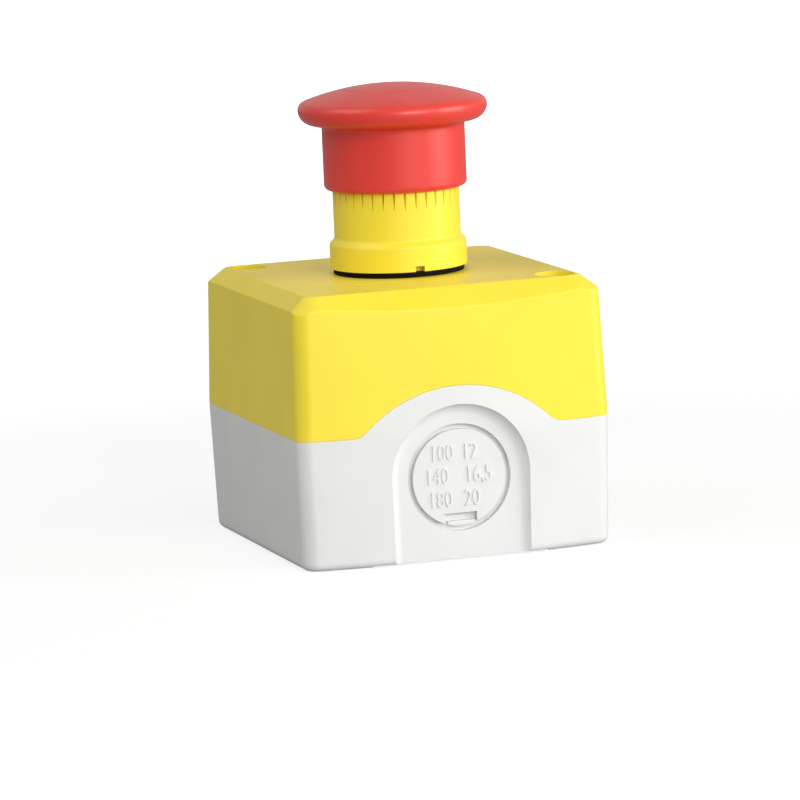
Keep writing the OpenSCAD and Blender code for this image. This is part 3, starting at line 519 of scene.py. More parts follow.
@dataclass(frozen=True)
class ShaderGroups:
    """Surface effects that several finishes share."""

    moulded: bpy.types.NodeTree
    wear: bpy.types.NodeTree
    dust: bpy.types.NodeTree
    drawn: bpy.types.NodeTree

    @classmethod
    def make(cls) -> "ShaderGroups":
        """Builds the groups."""
        return cls(cls.moulded_skin(), cls.edge_wear(), cls.dust_film(), cls.drawn_metal())

    @staticmethod
    def moulded_skin() -> bpy.types.NodeTree:
        """Builds the skin of a moulding: spark-eroded grain, faint flow marks and an uneven tone.

        Returns:
            The group.
        """
        grain_size, flow_size, tone_size, gloss_size = 0.22, 7.0, 16.0, 2.5
        flow_share, grain_gloss, patch_gloss = 0.8, 0.4, 0.6
        sheet, given, leave = new_group(
            "moulded skin", {"Place": None, "Grain": 1.0}, ("Height", "Tone", "Gloss")
        )
        place = given["Place"]
        grain = sheet.maths("MULTIPLY", sheet.noise(place, grain_size, 1.0), given["Grain"])
        flow = sheet.noise(place, flow_size, 1.0)
        height = sheet.maths("MULTIPLY_ADD", flow, flow_share, grain)
        tone = sheet.ramp(sheet.noise(place, tone_size, 3.0), 0.3, 0.7)
        dull = sheet.maths("MULTIPLY", grain, grain_gloss)
        gloss = sheet.maths("MULTIPLY_ADD", sheet.noise(place, gloss_size, 2.0), patch_gloss, dull)
        link_out(sheet, leave, Height=height, Tone=tone, Gloss=gloss)
        return sheet.tree

    @staticmethod
    def edge_wear() -> bpy.types.NodeTree:
        """Builds the wear of handled edges: a mask along convex edges, broken up by noise.

        Returns:
            The group.
        """
        convex, sharp, chip_size = 0.52, 0.60, 1.4
        sheet, given, leave = new_group("edge wear", {"Place": None, "Amount": 0.5}, ("Mask",))
        point = sheet.add("NewGeometry").outputs["Pointiness"]
        edge = sheet.ramp(point, convex, sharp)
        broken = sheet.ramp(sheet.noise(given["Place"], chip_size, 3.0), 0.35, 0.65)
        mask = sheet.maths("MULTIPLY", sheet.maths("MULTIPLY", edge, broken), given["Amount"], clamp=True)
        link_out(sheet, leave, Mask=mask)
        return sheet.tree

    @staticmethod
    def dust_film() -> bpy.types.NodeTree:
        """Builds a thin film of dust where a surface looks up.

        Returns:
            The group.
        """
        steep, level, patch_size = 0.4, 1.0, 4.0
        sheet, given, leave = new_group("dust film", {"Place": None, "Amount": 0.2}, ("Mask",))
        normal = sheet.add("NewGeometry").outputs["Normal"]
        up = sheet.add("SeparateXYZ", {"Vector": normal}).outputs["Z"]
        lying = sheet.ramp(up, steep, level)
        patchy = sheet.ramp(sheet.noise(given["Place"], patch_size, 4.0), 0.3, 0.75)
        mask = sheet.maths("MULTIPLY", sheet.maths("MULTIPLY", lying, patchy), given["Amount"], clamp=True)
        link_out(sheet, leave, Mask=mask)
        return sheet.tree

    @staticmethod
    def drawn_metal() -> bpy.types.NodeTree:
        """Builds drawn or turned metal: fine streaks and soft spots in the plating.

        Returns:
            The group.
        """
        streak_size, spot_size = 1.2, 0.9
        sheet, given, leave = new_group(
            "drawn metal", {"Place": None, "Stretch": 12.0}, ("Height", "Tone", "Gloss")
        )
        squeeze = sheet.add("CombineXYZ", {"X": 1.0, "Y": 1.0, "Z": given["Stretch"]}).outputs[0]
        place = sheet.add("VectorMath", {0: given["Place"], 1: squeeze}, operation="MULTIPLY").outputs[0]
        streak = sheet.noise(place, streak_size, 3.0)
        spots = sheet.noise(given["Place"], spot_size, 2.0)
        link_out(sheet, leave, Height=streak, Tone=sheet.ramp(spots, 0.3, 0.7), Gloss=streak)
        return sheet.tree


@dataclass(frozen=True)
class Finish:
    """What every finish has: a name, two near colours and a gloss."""

    name: str
    colour: Colour
    roughness: float

    def shade(self, factor: float) -> Colour:
        """Gives the finish's colour, lighter or darker."""
        return tuple(min(1.0, c * factor) for c in self.colour)

    def start(self) -> tuple[Sheet, bpy.types.Node, bpy.types.NodeSocket, bpy.types.Material]:
        """Starts the material.

        Returns:
            The sheet, the surface shader, the place on the piece and the material.
        """
        material = bpy.data.materials.new(self.name)
        material.use_nodes = True
        material.diffuse_color = (*self.colour, 1.0)
        sheet = Sheet(material.node_tree)
        shader = next(n for n in material.node_tree.nodes if n.type == "BSDF_PRINCIPLED")
        place = sheet.add("TexCoord").outputs["Object"]
        return sheet, shader, place, material

    def surface(
        self,
        sheet: Sheet,
        shader: bpy.types.Node,
        skin: bpy.types.Node,
        spread: float,
        depth: float,
        distance: float,
    ) -> None:
        """Links the roughness and the relief of a skin to the shader.

        Args:
            sheet: Sheet of the material.
            shader: Surface shader.
            skin: Group that gives the gloss and the height.
            spread: How far the roughness varies to either side.
            depth: Strength of the relief.
            distance: Height of the relief in millimetres.
        """
        low, high = self.roughness - spread, self.roughness + spread
        rough = sheet.add("MapRange", {"Value": skin.outputs["Gloss"], "To Min": low, "To Max": high})
        bump = sheet.add(
            "Bump", {"Height": skin.outputs["Height"], "Strength": depth, "Distance": distance * METRES}
        )
        links = sheet.tree.links
        links.new(rough.outputs["Result"], shader.inputs["Roughness"])
        links.new(bump.outputs["Normal"], shader.inputs["Normal"])


@dataclass(frozen=True)
class Moulding(Finish):
    """Moulded plastic with a fine grain, paler edges and a little dust."""

    grain: float = 1.0
    relief: float = 0.25
    relief_h: float = 0.02
    spread: float = 0.05
    tone: float = 0.018
    wear: float = 0.25
    paler: float = 0.35
    dust: float = 0.03
    dust_colour: Colour = (0.62, 0.60, 0.56)
    coat: float = 0.0
    coat_roughness: float = 0.2

    def make(self, groups: ShaderGroups) -> bpy.types.Material:
        """Builds the material.

        Args:
            groups: Effects that the finishes share.

        Returns:
            The material.
        """
        sheet, shader, place, material = self.start()
        skin = sheet.add("Group", node_tree=groups.moulded)
        edge = sheet.add("Group", node_tree=groups.wear)
        film = sheet.add("Group", node_tree=groups.dust)
        for group in (skin, edge, film):
            sheet.tree.links.new(place, group.inputs["Place"])
        skin.inputs["Grain"].default_value = self.grain
        edge.inputs["Amount"].default_value = self.wear
        film.inputs["Amount"].default_value = self.dust
        plain = sheet.blend(skin.outputs["Tone"], self.shade(1 - self.tone), self.shade(1 + self.tone))
        pale = tuple(c + (1 - c) * self.paler for c in self.colour)
        worn = sheet.blend(edge.outputs["Mask"], plain, pale)
        dusty = sheet.blend(film.outputs["Mask"], worn, self.dust_colour)
        sheet.tree.links.new(dusty, shader.inputs["Base Color"])
        self.surface(sheet, shader, skin, self.spread, self.relief, self.relief_h)
        shader.inputs["Coat Weight"].default_value = self.coat
        shader.inputs["Coat Roughness"].default_value = self.coat_roughness
        return material


@dataclass(frozen=True)
class Rubber(Finish):
    """Soft black rubber with a dull, slightly bloomed skin."""

    bloom: Colour = (0.09, 0.088, 0.085)
    bloom_amount: float = 0.12
    grain: float = 1.6
    relief: float = 0.5
    relief_h: float = 0.02
    spread: float = 0.08
    darker: float = 0.8
    lighter: float = 1.3
    shine: float = 0.12

    def make(self, groups: ShaderGroups) -> bpy.types.Material:
        """Builds the material.

        Args:
            groups: Effects that the finishes share.

        Returns:
            The material.
        """
        sheet, shader, place, material = self.start()
        skin = sheet.add("Group", {"Place": place, "Grain": self.grain}, node_tree=groups.moulded)
        film = sheet.add("Group", {"Place": place, "Amount": self.bloom_amount}, node_tree=groups.dust)
        plain = sheet.blend(skin.outputs["Tone"], self.shade(self.darker), self.shade(self.lighter))
        dusty = sheet.blend(film.outputs["Mask"], plain, self.bloom)
        sheet.tree.links.new(dusty, shader.inputs["Base Color"])
        self.surface(sheet, shader, skin, self.spread, self.relief, self.relief_h)
        shader.inputs["Specular IOR Level"].default_value = self.shine
        return material


@dataclass(frozen=True)
class Metal(Finish):
    """Plated, drawn or stamped metal."""

    stretch: float = 12.0
    tarnish: Colour = (0.4, 0.4, 0.4)
    wear: float = 0.6
    polished: float = 1.25
    relief: float = 0.15
    relief_h: float = 0.01
    spread: float = 0.09

    def make(self, groups: ShaderGroups) -> bpy.types.Material:
        """Builds the material.

        Args:
            groups: Effects that the finishes share.

        Returns:
            The material.
        """
        sheet, shader, place, material = self.start()
        skin = sheet.add("Group", {"Place": place, "Stretch": self.stretch}, node_tree=groups.drawn)
        edge = sheet.add("Group", {"Place": place, "Amount": self.wear}, node_tree=groups.wear)
        plain = sheet.blend(skin.outputs["Tone"], self.tarnish, self.colour)
        bright = sheet.blend(edge.outputs["Mask"], plain, self.shade(self.polished))
        sheet.tree.links.new(bright, shader.inputs["Base Color"])
        self.surface(sheet, shader, skin, self.spread, self.relief, self.relief_h)
        shader.inputs["Metallic"].default_value = 1.0
        return material


# Box


@dataclass(frozen=True)
class BoxForm:
    """Outer form of the box: bowed, drafted walls over a plan with round corners."""

    half_w: float
    height: float
    bow: float
    bow_top: float = 2.0
    draft_low: float = 0.65
    draft_high: float = 0.85
    corner_r: float = 3.5
    foot_round: float = 1.6
    split_z: float = 27.2
    arch_r: float = 28.5
    arch_z: float = 8.15
    arch_fillet: float = 4.2
    chamfer_w: float = 3.0
    chamfer_h: float = 2.3
    plate_r: float = 3.0
    cavity_half: float = 31.4
    cavity_r: float = 2.0
    tongue_t: float = 1.3
    edge: float = 0.16
    corner_steps: int = 12
    bow_steps: int = 44
    square_steps: int = 6
    settle: int = 4

    @classmethod
    def from_frame(cls) -> "BoxForm":
        """Takes the overall sizes from the frame's base and lid.

        Returns:
            The form.
        """
        _, base = node_box("base")
        _, lid = node_box("lid")
        return cls(half_w=base[0], height=lid[2], bow=base[1] - base[0])

    @property
    def fillet_x(self) -> float:
        """Where the fillet beside the arch meets the straight joint."""
        rise = self.split_z + self.arch_fillet - self.arch_z
        return math.sqrt((self.arch_r + self.arch_fillet) ** 2 - rise**2)

    def plan(self, half: float, bow: float, r: float) -> np.ndarray:
        """Gives the plan at one level, anticlockwise from the right wall's back end.

        Args:
            half: Half of the width across the flat walls.
            bow: How far the front and back walls bow out.
            r: Radius of the corners.

        Returns:
            Points of the plan; the second half is the first one turned by half a turn.
        """
        big = ((half - r) ** 2 + bow**2 + 2 * bow * r) / (2 * bow)
        turn = math.asin((half - r) / (big - r))
        a = np.linspace(0, math.pi / 2 - turn, self.corner_steps + 1)
        corner = np.column_stack([half - r + r * np.cos(a), half - r + r * np.sin(a)])
        b = turn * (1 - np.arange(1, 2 * self.bow_steps) / self.bow_steps)
        bowed = np.column_stack([big * np.sin(b), half + bow - big + big * np.cos(b)])
        back = np.vstack([corner, bowed, corner[::-1] * [-1, 1]])
        return np.vstack([back, -back])

    def square(self, half: float, r: float) -> np.ndarray:
        """Gives a square plan with round corners.

        Args:
            half: Half of its width.
            r: Radius of its corners.

        Returns:
            Points of the plan, ordered as those of the bowed plan are.
        """
        a = np.linspace(0, math.pi / 2, self.square_steps + 1)
        corner = np.column_stack([half - r + r * np.cos(a), half - r + r * np.sin(a)])
        x = np.linspace(half - r, r - half, 2 * self.bow_steps + 1)[1:-1]
        straight = np.column_stack([x, np.full(len(x), half)])
        back = np.vstack([corner, straight, corner[::-1] * [-1, 1]])
        return np.vstack([back, -back])

    def wall(self, z: np.ndarray | float) -> np.ndarray:
        """Gives each column of the wall at its own height.

        Args:
            z: Height of each column, or one for all.

        Returns:
            Points in plan.
        """
        foot = self.plan(self.half_w - self.draft_low, self.bow, self.corner_r)
        split = self.plan(self.half_w, self.bow, self.corner_r)
        top = self.plan(self.half_w - self.draft_high, self.bow_top, self.corner_r)
        z = np.broadcast_to(z, len(foot))[:, None]
        low = foot + (split - foot) * (z - self.foot_round) / (self.split_z - self.foot_round)
        high = split + (top - split) * (z - self.split_z) / (self.height - self.split_z)
        return np.where(z < self.split_z, low, high)

    def outward(self) -> np.ndarray:
        """Gives the direction that each column of the wall looks in.

        Returns:
            Directions in plan, of length 1.
        """
        plan = self.wall(self.split_z)
        along = np.roll(plan, -1, axis=0) - np.roll(plan, 1, axis=0)
        out = np.column_stack([along[:, 1], -along[:, 0]])
        return out / np.linalg.norm(out, axis=1)[:, None]

    def joint(self, x: np.ndarray) -> np.ndarray:
        """Gives the height of the joint between base and lid.

        Args:
            x: Places across the box.

        Returns:
            The height at each place.
        """
        far = np.abs(x)
        meet = self.fillet_x * self.arch_r / (self.arch_r + self.arch_fillet)
        arch = self.arch_z + np.sqrt(np.maximum(self.arch_r**2 - far**2, 0))
        dip = np.sqrt(np.maximum(self.arch_fillet**2 - (far - self.fillet_x) ** 2, 0))
        fillet = self.split_z + self.arch_fillet - dip
        return np.where(far < meet, arch, np.where(far < self.fillet_x, fillet, self.split_z))

    def wall_joint(self) -> np.ndarray:
        """Gives the height of the joint at each column of the wall.

        Returns:
            The heights; the draft moves a column as it rises, so they settle in a few steps.
        """
        z = np.full(len(self.wall(0.0)), self.split_z)
        for _ in range(self.settle):
            z = self.joint(self.wall(z)[:, 0])
        return z

    def joint_block(self, outline: np.ndarray, low: float, lift: float) -> bpy.types.Object:
        """Makes a solid from a level up to the joint, or to a height above it.

        Args:
            outline: Plan, ordered as the box's own.
            low: Height of its underside.
            lift: How far its top lies above the joint.

        Returns:
            The solid.
        """
        made = Solid()
        bottom = made.ring(at_height(outline, low))
        top = made.ring(at_height(outline, self.joint(outline[:, 0]) + lift))
        made.skin([bottom, top])
        made.cap(bottom)
        made.span(top)
        return made.build("joint block")


@dataclass(frozen=True)
class LidFixing:
    """Screws of the lid, their bosses and the recesses over them."""

    at: float
    seat_z: float
    head_h: float = 2.4
    head_r: float = 3.5
    shank_r: float = 2.0
    boss_r: float = 5.0
    recess_r: float = 4.0
    grip: float = 13.0
    rib: float = 1.6
    into_wall: float = 0.4

    @classmethod
    def from_frame(cls) -> "LidFixing":
        """Takes the screws' places from the frame.

        Returns:
            The fixing.
        """
        _, high = node_box("lid_screws")
        return cls(at=high[0] - cls.head_r, seat_z=high[2] - cls.head_h)

    def places(self) -> list[tuple[float, float]]:
        """Gives the middles of the two screws: right front and left back."""
        return [(self.at, -self.at), (-self.at, self.at)]

    def bosses(self, form: BoxForm, low: float, rib_low: float, high: float) -> list[bpy.types.Object]:
        """Makes the bosses and their ribs, as tools.

        Args:
            form: Form of the box.
            low: Height of the bosses' undersides.
            rib_low: Height of the ribs' undersides.
            high: Height of their tops.

        Returns:
            A boss and two ribs for each screw.
        """
        out = []
        reach = form.cavity_half + self.into_wall
        for x, y in self.places():
            out.append(post(self.boss_r, low, high, x, y))
            ex, ey = math.copysign(reach, x), math.copysign(reach, y)
            h = self.rib / 2
            out.append(block((min(x, ex), y - h, rib_low), (max(x, ex), y + h, high)))
            out.append(block((x - h, min(y, ey), rib_low), (x + h, max(y, ey), high)))
        return out


@dataclass(frozen=True)
class CableEntry:
    """Cable entry of the base: a recess with a cove, and a knock-out with a blade pocket."""

    floor_y: float = 34.3
    half: float = 15.2
    arch_z: float = 17.6
    cove: float = 2.3
    disc_z: float = 17.2
    disc_r: float = 10.1
    groove: float = 1.1
    depth: float = 1.305
    web: float = 0.6
    behind: float = 3.0
    lip: float = 0.06
    pocket_half: float = 3.55
    pocket_h: float = 2.7
    key_left: float = -2.75
    key_right: float = 3.15
    key_top: float = 1.0
    key_sunk: float = 0.15
    far: float = 20.0
    lap: float = 0.01
    arch_steps: int = 64
    cove_steps: int = 8
    ring_steps: int = 144
    lip_steps: int = 4

    def arch(self, half: float, low: float = -5.0) -> np.ndarray:
        """Gives the recess's outline seen from the front, at a half width.

        Args:
            half: Half width of the outline, and the radius of its round top.
            low: Height of its open foot.

        Returns:
            Points (x, z).
        """
        rise = [(half, z) for z in np.linspace(low, self.arch_z, 8)[:-1]]
        top = arc((0.0, self.arch_z), half, 0, 180, self.arch_steps)
        return np.array(rise + top + [(-x, z) for x, z in rise[::-1]])

    def recess(self) -> bpy.types.Object:
        """Makes the tool of the recess, on the front.

        Returns:
            The tool, whose cove widens outwards.
        """
        made = Solid()
        inner = self.half - self.cove
        section = [
            (inner + self.cove * math.sin(a), self.cove * (1 - math.cos(a)))
            for a in np.radians(np.linspace(0, 90, self.cove_steps + 1))
        ]
        section.append((self.half, self.far))
        rings = []
        for half, out in section:
            seen = self.arch(half)
            depth = np.full(len(seen), -self.floor_y - out)
            rings.append(made.ring(np.column_stack([seen[:, 0], depth, seen[:, 1]])))
        made.skin(rings)
        made.cap(rings[0])
        made.cap(rings[-1])
        return made.build("recess")

    def ring_tool(self, start: float, end: float, lip: float) -> bpy.types.Object:
        """Makes the tool of a ring groove round the disc, on the front.

        Args:
            start: Depth below the recess's floor at which it starts; less than 0 is outside.
            end: Depth at which it ends.
            lip: Rounding of the edges where it breaks the floor.

        Returns:
            The tool.
        """
        inner, outer = self.disc_r, self.disc_r + self.groove
        section = [(inner - lip, start)]
        if lip:
            section += arc((inner - lip, lip), lip, -90, 0, self.lip_steps)
        section += [(inner, end), (outer, end)]
        if lip:
            section += arc((outer + lip, lip), lip, 180, 270, self.lip_steps)
        section += [(outer + lip, start)]
        made = lathe(section, self.ring_steps).build("ring")
        lay = Matrix.Rotation(math.radians(-90), 4, "X")
        return turned(made, Matrix.Translation(Vector((0, -self.floor_y, self.disc_z)) * METRES) @ lay)

    def pocket(self) -> list[bpy.types.Object]:
        """Makes the tools of the blade pocket.

        Returns:
            The frame round the key in three pieces, and the key's sunk face.
        """
        low = self.disc_z - self.disc_r
        top = low + self.pocket_h
        key_z = low + self.key_top
        y_out, y_in, y_key = -self.floor_y - OVER, -self.floor_y + self.depth, -self.floor_y + self.key_sunk
        left, right = self.key_left - self.lap, self.key_right + self.lap
        h = self.pocket_half
        return [
            block((-h, y_out, low), (self.key_left, y_in, top)),
            block((self.key_right, y_out, low), (h, y_in, top)),
            block((left, y_out, key_z), (right, y_in, top)),
            block((left, y_out, low), (right, y_key, key_z + self.lap)),
        ]

    def tools(self) -> list[bpy.types.Object]:
        """Makes all tools of the front entry.

        Returns:
            The recess, the grooves before and behind the web, and the blade pocket.
        """
        behind = self.depth + self.web
        return [
            self.recess(),
            self.ring_tool(-OVER, self.depth, self.lip),
            self.ring_tool(behind, behind + self.behind, 0.0),
            *self.pocket(),
        ]


@dataclass(frozen=True)
class Base:
    """Light grey lower moulding of the box."""

    form: BoxForm
    fixing: LidFixing
    entry: CableEntry = field(default_factory=CableEntry)
    floor_t: float = 2.5
    tongue_h: float = 1.5
    hole_x: float = 19.0
    hole_y: float = 27.0
    hole_r: float = 2.15
    pad_r: float = 4.5
    pad_h: float = 2.0
    skin: float = 0.5
    relief_half: float = 19.3
    relief_h: float = 0.35
    relief_out: float = 9.0
    wall_rows: int = 14
    foot_steps: int = 6
    edge_steps: int = 3

    def outside(self) -> bpy.types.Object:
        """Makes the full outer form up to the joint.

        Returns:
            The solid, with a round foot and a soft upper edge.
        """
        form, made = self.form, Solid()
        out = form.outward()
        joint = form.wall_joint()
        rings = []
        for a in np.radians(np.linspace(0, 90, self.foot_steps + 1)):
            inset = form.foot_round * (1 - math.sin(a))
            z = form.foot_round * (1 - math.cos(a))
            rings.append(made.ring(at_height(form.wall(form.foot_round) - out * inset, z)))
        for t in np.linspace(0, 1, self.wall_rows + 1)[1:]:
            z = form.foot_round + (joint - form.edge - form.foot_round) * t
            rings.append(made.ring(at_height(form.wall(z), z)))
        for a in np.radians(np.linspace(0, 90, self.edge_steps + 1))[1:]:
            z = joint - form.edge * (1 - math.sin(a))
            rings.append(made.ring(at_height(form.wall(z) - out * form.edge * (1 - math.cos(a)), z)))
        made.skin(rings)
        made.cap(rings[0])
        made.span(rings[-1])
        return made.build("base")

    def build(self, material: bpy.types.Material) -> bpy.types.Object:
        """Builds the base and lets it stand for its node.

        Args:
            material: Finish of its slot.

        Returns:
            The piece.
        """
        form, fixing = self.form, self.fixing
        body = self.outside()
        room = prism(form.square(form.cavity_half, form.cavity_r), self.floor_t, form.height)
        below, pad_top = self.floor_t - OVER, self.floor_t + self.pad_h
        spots = [(side * self.hole_x, side * self.hole_y) for side in (-1, 1)]
        pads = [post(self.pad_r, below, pad_top, x, y) for x, y in spots]
        carve(room, fixing.bosses(form, below, below, form.split_z) + pads, Carve.CUT)
        tongue_plan = form.square(form.cavity_half + form.tongue_t, form.cavity_r + form.tongue_t)
        carve(body, [form.joint_block(tongue_plan, form.split_z - OVER, self.tongue_h)], Carve.ADD)
        grip_low = form.split_z - fixing.grip
        holes = [post(fixing.shank_r, grip_low, form.split_z + OVER, x, y) for x, y in fixing.places()]
        holes += [post(self.hole_r, -OVER, pad_top - self.skin, x, y) for x, y in spots]
        near, far = -form.half_w - self.relief_out, -form.cavity_half
        front = self.entry.tools()
        front.append(block((-self.relief_half, near, -OVER), (self.relief_half, far, self.relief_h)))
        carve(body, [room, *holes, *front, *[twin(t) for t in front]], Carve.CUT)
        show(body, "base_moulding", OUTER, ["base"], material)
        return body


@dataclass(frozen=True)
class EntryNumbers:
    """Plain numbers in relief on the knock-out discs, front and back."""

    entry: CableEntry
    rows: tuple[tuple[tuple[str, float], ...], ...] = (
        (("100", -5.6), ("12", 1.4)),
        (("140", -6.8), ("16,5", 1.9)),
        (("180", -6.2), ("20", 1.0)),
    )
    figure_h: float = 3.3
    pitch: float = 4.87
    top_row: float = 3.75
    squeeze: float = 0.74
    rise: float = 0.26
    sunk: float = 0.1
    thin: float = -0.002
    thick: float = 0.04

    def word(self, text: str) -> bpy.types.Mesh:
        """Makes one number, lying in the XY plane.

        Args:
            text: Digits, with or without a comma that hangs below them.

        Returns:
            The mesh, with the lower left corner of its first digit at the origin.
        """
        curve = bpy.data.curves.new(text, "FONT")
        curve.body = text
        curve.extrude = self.thick
        curve.offset = self.thin
        holder = placed(text, curve)
        shown = holder.evaluated_get(bpy.context.evaluated_depsgraph_get())
        mesh = bpy.data.meshes.new_from_object(shown)
        bpy.data.objects.remove(holder)
        points = np.array([v.co for v in mesh.vertices])
        low, high = points.min(axis=0), points.max(axis=0)
        digit = high[1] if "," in text else high[1] - low[1]
        size = self.figure_h / digit
        base_y = 0.0 if "," in text else low[1]
        lift = (self.rise + self.sunk) / (high[2] - low[2])
        place = Matrix.Diagonal((size * self.squeeze, size, lift, 1.0)) @ Matrix.Translation(
            (-low[0], -base_y, -low[2])
        )
        mesh.transform(Matrix.Scale(METRES, 4) @ place)
        return mesh

    def build(self, material: bpy.types.Material) -> bpy.types.Object:
        """Builds the numbers of both entries as one piece.

        Args:
            material: Finish of its slot.

        Returns:
            The piece.
        """
        work = bmesh.new()
        stand = Matrix.Rotation(math.radians(90), 4, "X")
        for i, row in enumerate(self.rows):
            z = self.entry.disc_z + self.top_row - i * self.pitch
            for text, x in row:
                word = self.word(text)
                spot = Vector((x, -self.entry.floor_y + self.sunk, z)) * METRES
                word.transform(Matrix.Translation(spot) @ stand)
                work.from_mesh(word)
                word.transform(Matrix.Rotation(math.pi, 4, "Z"))
                work.from_mesh(word)
                bpy.data.meshes.remove(word)
        bmesh.ops.remove_doubles(work, verts=work.verts, dist=SAME)
        bmesh.ops.recalc_face_normals(work, faces=work.faces)
        mesh = bpy.data.meshes.new("numbers")
        work.to_mesh(mesh)
        work.free()
        made = placed("numbers", mesh)
        show(made, "entry_numbers", OUTER, [], material)
        return made


@dataclass(frozen=True)
class Lid:
    """Yellow upper moulding of the box."""

    form: BoxForm
    fixing: LidFixing
    plate_t: float = 3.0
    hole_r: float = 11.15
    key_half: float = 1.7
    key_reach: float = 12.1
    rebate: float = 2.5
    clear: float = 0.2
    recess_lip: float = 0.2
    recess_steps: int = 96
    lip_steps: int = 5
    field_half: float = 16.0
    field_back: float = -17.0
    field_front: float = -29.0
    field_line: float = 0.16
    wall_rows: int = 14
    edge_steps: int = 3
    softer: float = 1.6
    settle: int = 6

    def chamfer_points(self, plan: np.ndarray) -> tuple[np.ndarray, np.ndarray, np.ndarray]:
        """Gives what the chamfer does at points in plan.

        Args:
            plan: Points in plan.

        Returns:
            The chamfer's height there, the nearest points of the top plate's outline and the
            directions that the chamfer looks in.
        """
        form = self.form
        inner = form.half_w - form.draft_high - form.chamfer_w - form.plate_r
        core = np.clip(plan, -inner, inner)
        away = plan - core
        reach = np.linalg.norm(away, axis=1)
        out = away / reach[:, None]
        z = form.height - (reach - form.plate_r) * form.chamfer_h / form.chamfer_w
        return z, core + out * form.plate_r, out

    def outside(self) -> bpy.types.Object:
        """Makes the full outer form above the joint.

        Returns:
            The solid, with a chamfered plate and soft edges.
        """
        form, made = self.form, Solid()
        out, joint, soft = form.outward(), form.wall_joint(), self.softer * form.edge
        rings = []
        for a in np.radians(np.linspace(0, 90, self.edge_steps + 1)):
            z = joint + form.edge * (1 - math.cos(a))
            rings.append(made.ring(at_height(form.wall(z) - out * form.edge * (1 - math.sin(a)), z)))
        top = np.full(len(joint), form.height)
        for _ in range(self.settle):
            top, plate, look = self.chamfer_points(form.wall(top))
        for t in np.linspace(0, 1, self.wall_rows + 1)[1:-1]:
            z = joint + form.edge + (top - soft - joint - form.edge) * t
            rings.append(made.ring(at_height(form.wall(z), z)))
        corner = at_height(form.wall(top), top)
        below = at_height(form.wall(top - soft), top - soft)
        rim = at_height(plate, form.height)
        slope = (rim - corner) / np.linalg.norm(rim - corner, axis=1)[:, None]
        inward = np.column_stack([-look, np.zeros(len(look))])
        steps = np.linspace(0, 1, self.edge_steps + 1)
        rings += [made.ring(bend(below, corner, corner + soft * slope, t)) for t in steps]
        rings += [made.ring(bend(rim - soft * slope, rim, rim + soft * inward, t)) for t in steps]
        made.skin(rings)
        made.span(rings[0])
        made.cap(rings[-1])
        return made.build("lid")

    def screw_recess(self, x: float, y: float) -> bpy.types.Object:
        """Makes the tool of the recess over a screw.

        Args:
            x: Middle of the screw.
            y: Middle of the screw.

        Returns:
            The tool, which leaves a soft edge in the plate.
        """
        lip, r, top = self.recess_lip, self.fixing.recess_r, self.form.height
        section = [(CORE, self.fixing.seat_z), (r, self.fixing.seat_z)]
        section += arc((r + lip, top - lip), lip, 180, 90, self.lip_steps)
        section += [(r + lip, top + 2 * OVER), (CORE, top + 2 * OVER)]
        made = lathe(section, self.recess_steps, closed=False).build("recess")
        return turned(made, Matrix.Translation(Vector((x, y, 0)) * METRES))

    def label_outline(self) -> bpy.types.Object:
        """Makes the tool of the thin line round the place for a label.

        Returns:
            The tool, whose section is a V.
        """
        top, line, made = self.form.height, self.field_line, Solid()
        rings = []
        for grow, z in ((0.0, top - line), (line, top + line), (-line, top + line)):
            x, back, front = self.field_half + grow, self.field_back + grow, self.field_front - grow
            outline = np.array([(-x, front), (x, front), (x, back), (-x, back)])
            rings.append(made.ring(at_height(outline, z)))
        made.skin([*rings, rings[0]])
        return made.build("outline")

    def build(self, material: bpy.types.Material) -> bpy.types.Object:
        """Builds the lid and lets it stand for its node.

        Args:
            material: Finish of its slot.

        Returns:
            The piece.
        """
        form, fixing = self.form, self.fixing
        body = self.outside()
        plate_z = form.height - self.plate_t
        room = prism(form.square(form.cavity_half, form.cavity_r), 0, plate_z)
        outline = form.square(form.cavity_half + form.tongue_t, form.cavity_r + form.tongue_t)
        carve(room, [form.joint_block(outline, -OVER, self.rebate)], Carve.ADD)
        bosses = fixing.bosses(form, form.split_z, form.split_z + self.rebate, plate_z + OVER)
        carve(room, bosses, Carve.CUT)
        top = form.height + OVER
        tools = [
            room,
            post(self.hole_r, plate_z - OVER, top),
            block((-self.key_half, 0, plate_z - OVER), (self.key_half, self.key_reach, top)),
            self.label_outline(),
        ]
        hole_low, hole_top = form.split_z - OVER, fixing.seat_z + OVER
        for x, y in fixing.places():
            tools.append(self.screw_recess(x, y))
            tools.append(post(fixing.shank_r + self.clear, hole_low, hole_top, x, y))
        carve(body, tools, Carve.CUT)
        show(body, "lid_moulding", OUTER, ["lid"], material)
        return body


def cross_recess(radius: float, top: float, depth: float, x: float, y: float) -> list[bpy.types.Object]:
    """Makes the tools of a cross recess in a screw's head.

    Args:
        radius: Radius of the head.
        top: Height of the head's face.
        depth: Depth of the recess.
        x: Middle of the screw.
        y: Middle of the screw.

    Returns:
        Two crossed, tapering bars.
    """
    # Half length and half width as shares of the head's radius, and height.
    levels = ((0.62, 0.15, top + OVER / 2), (0.60, 0.14, top), (0.30, 0.09, top - depth))
    out = []
    for quarter in (0, 1):
        made, rings = Solid(), []
        for reach, half, z in levels:
            a, b = reach * radius, half * radius
            plan = np.array([(-a, -b), (a, -b), (a, b), (-a, b)])
            plan = plan if not quarter else plan[:, ::-1] * [1, -1]
            rings.append(made.ring(at_height(plan + [x, y], z)))
        made.skin(rings)
        made.cap(rings[0])
        made.cap(rings[-1])
        out.append(made.build("bar"))
    return out


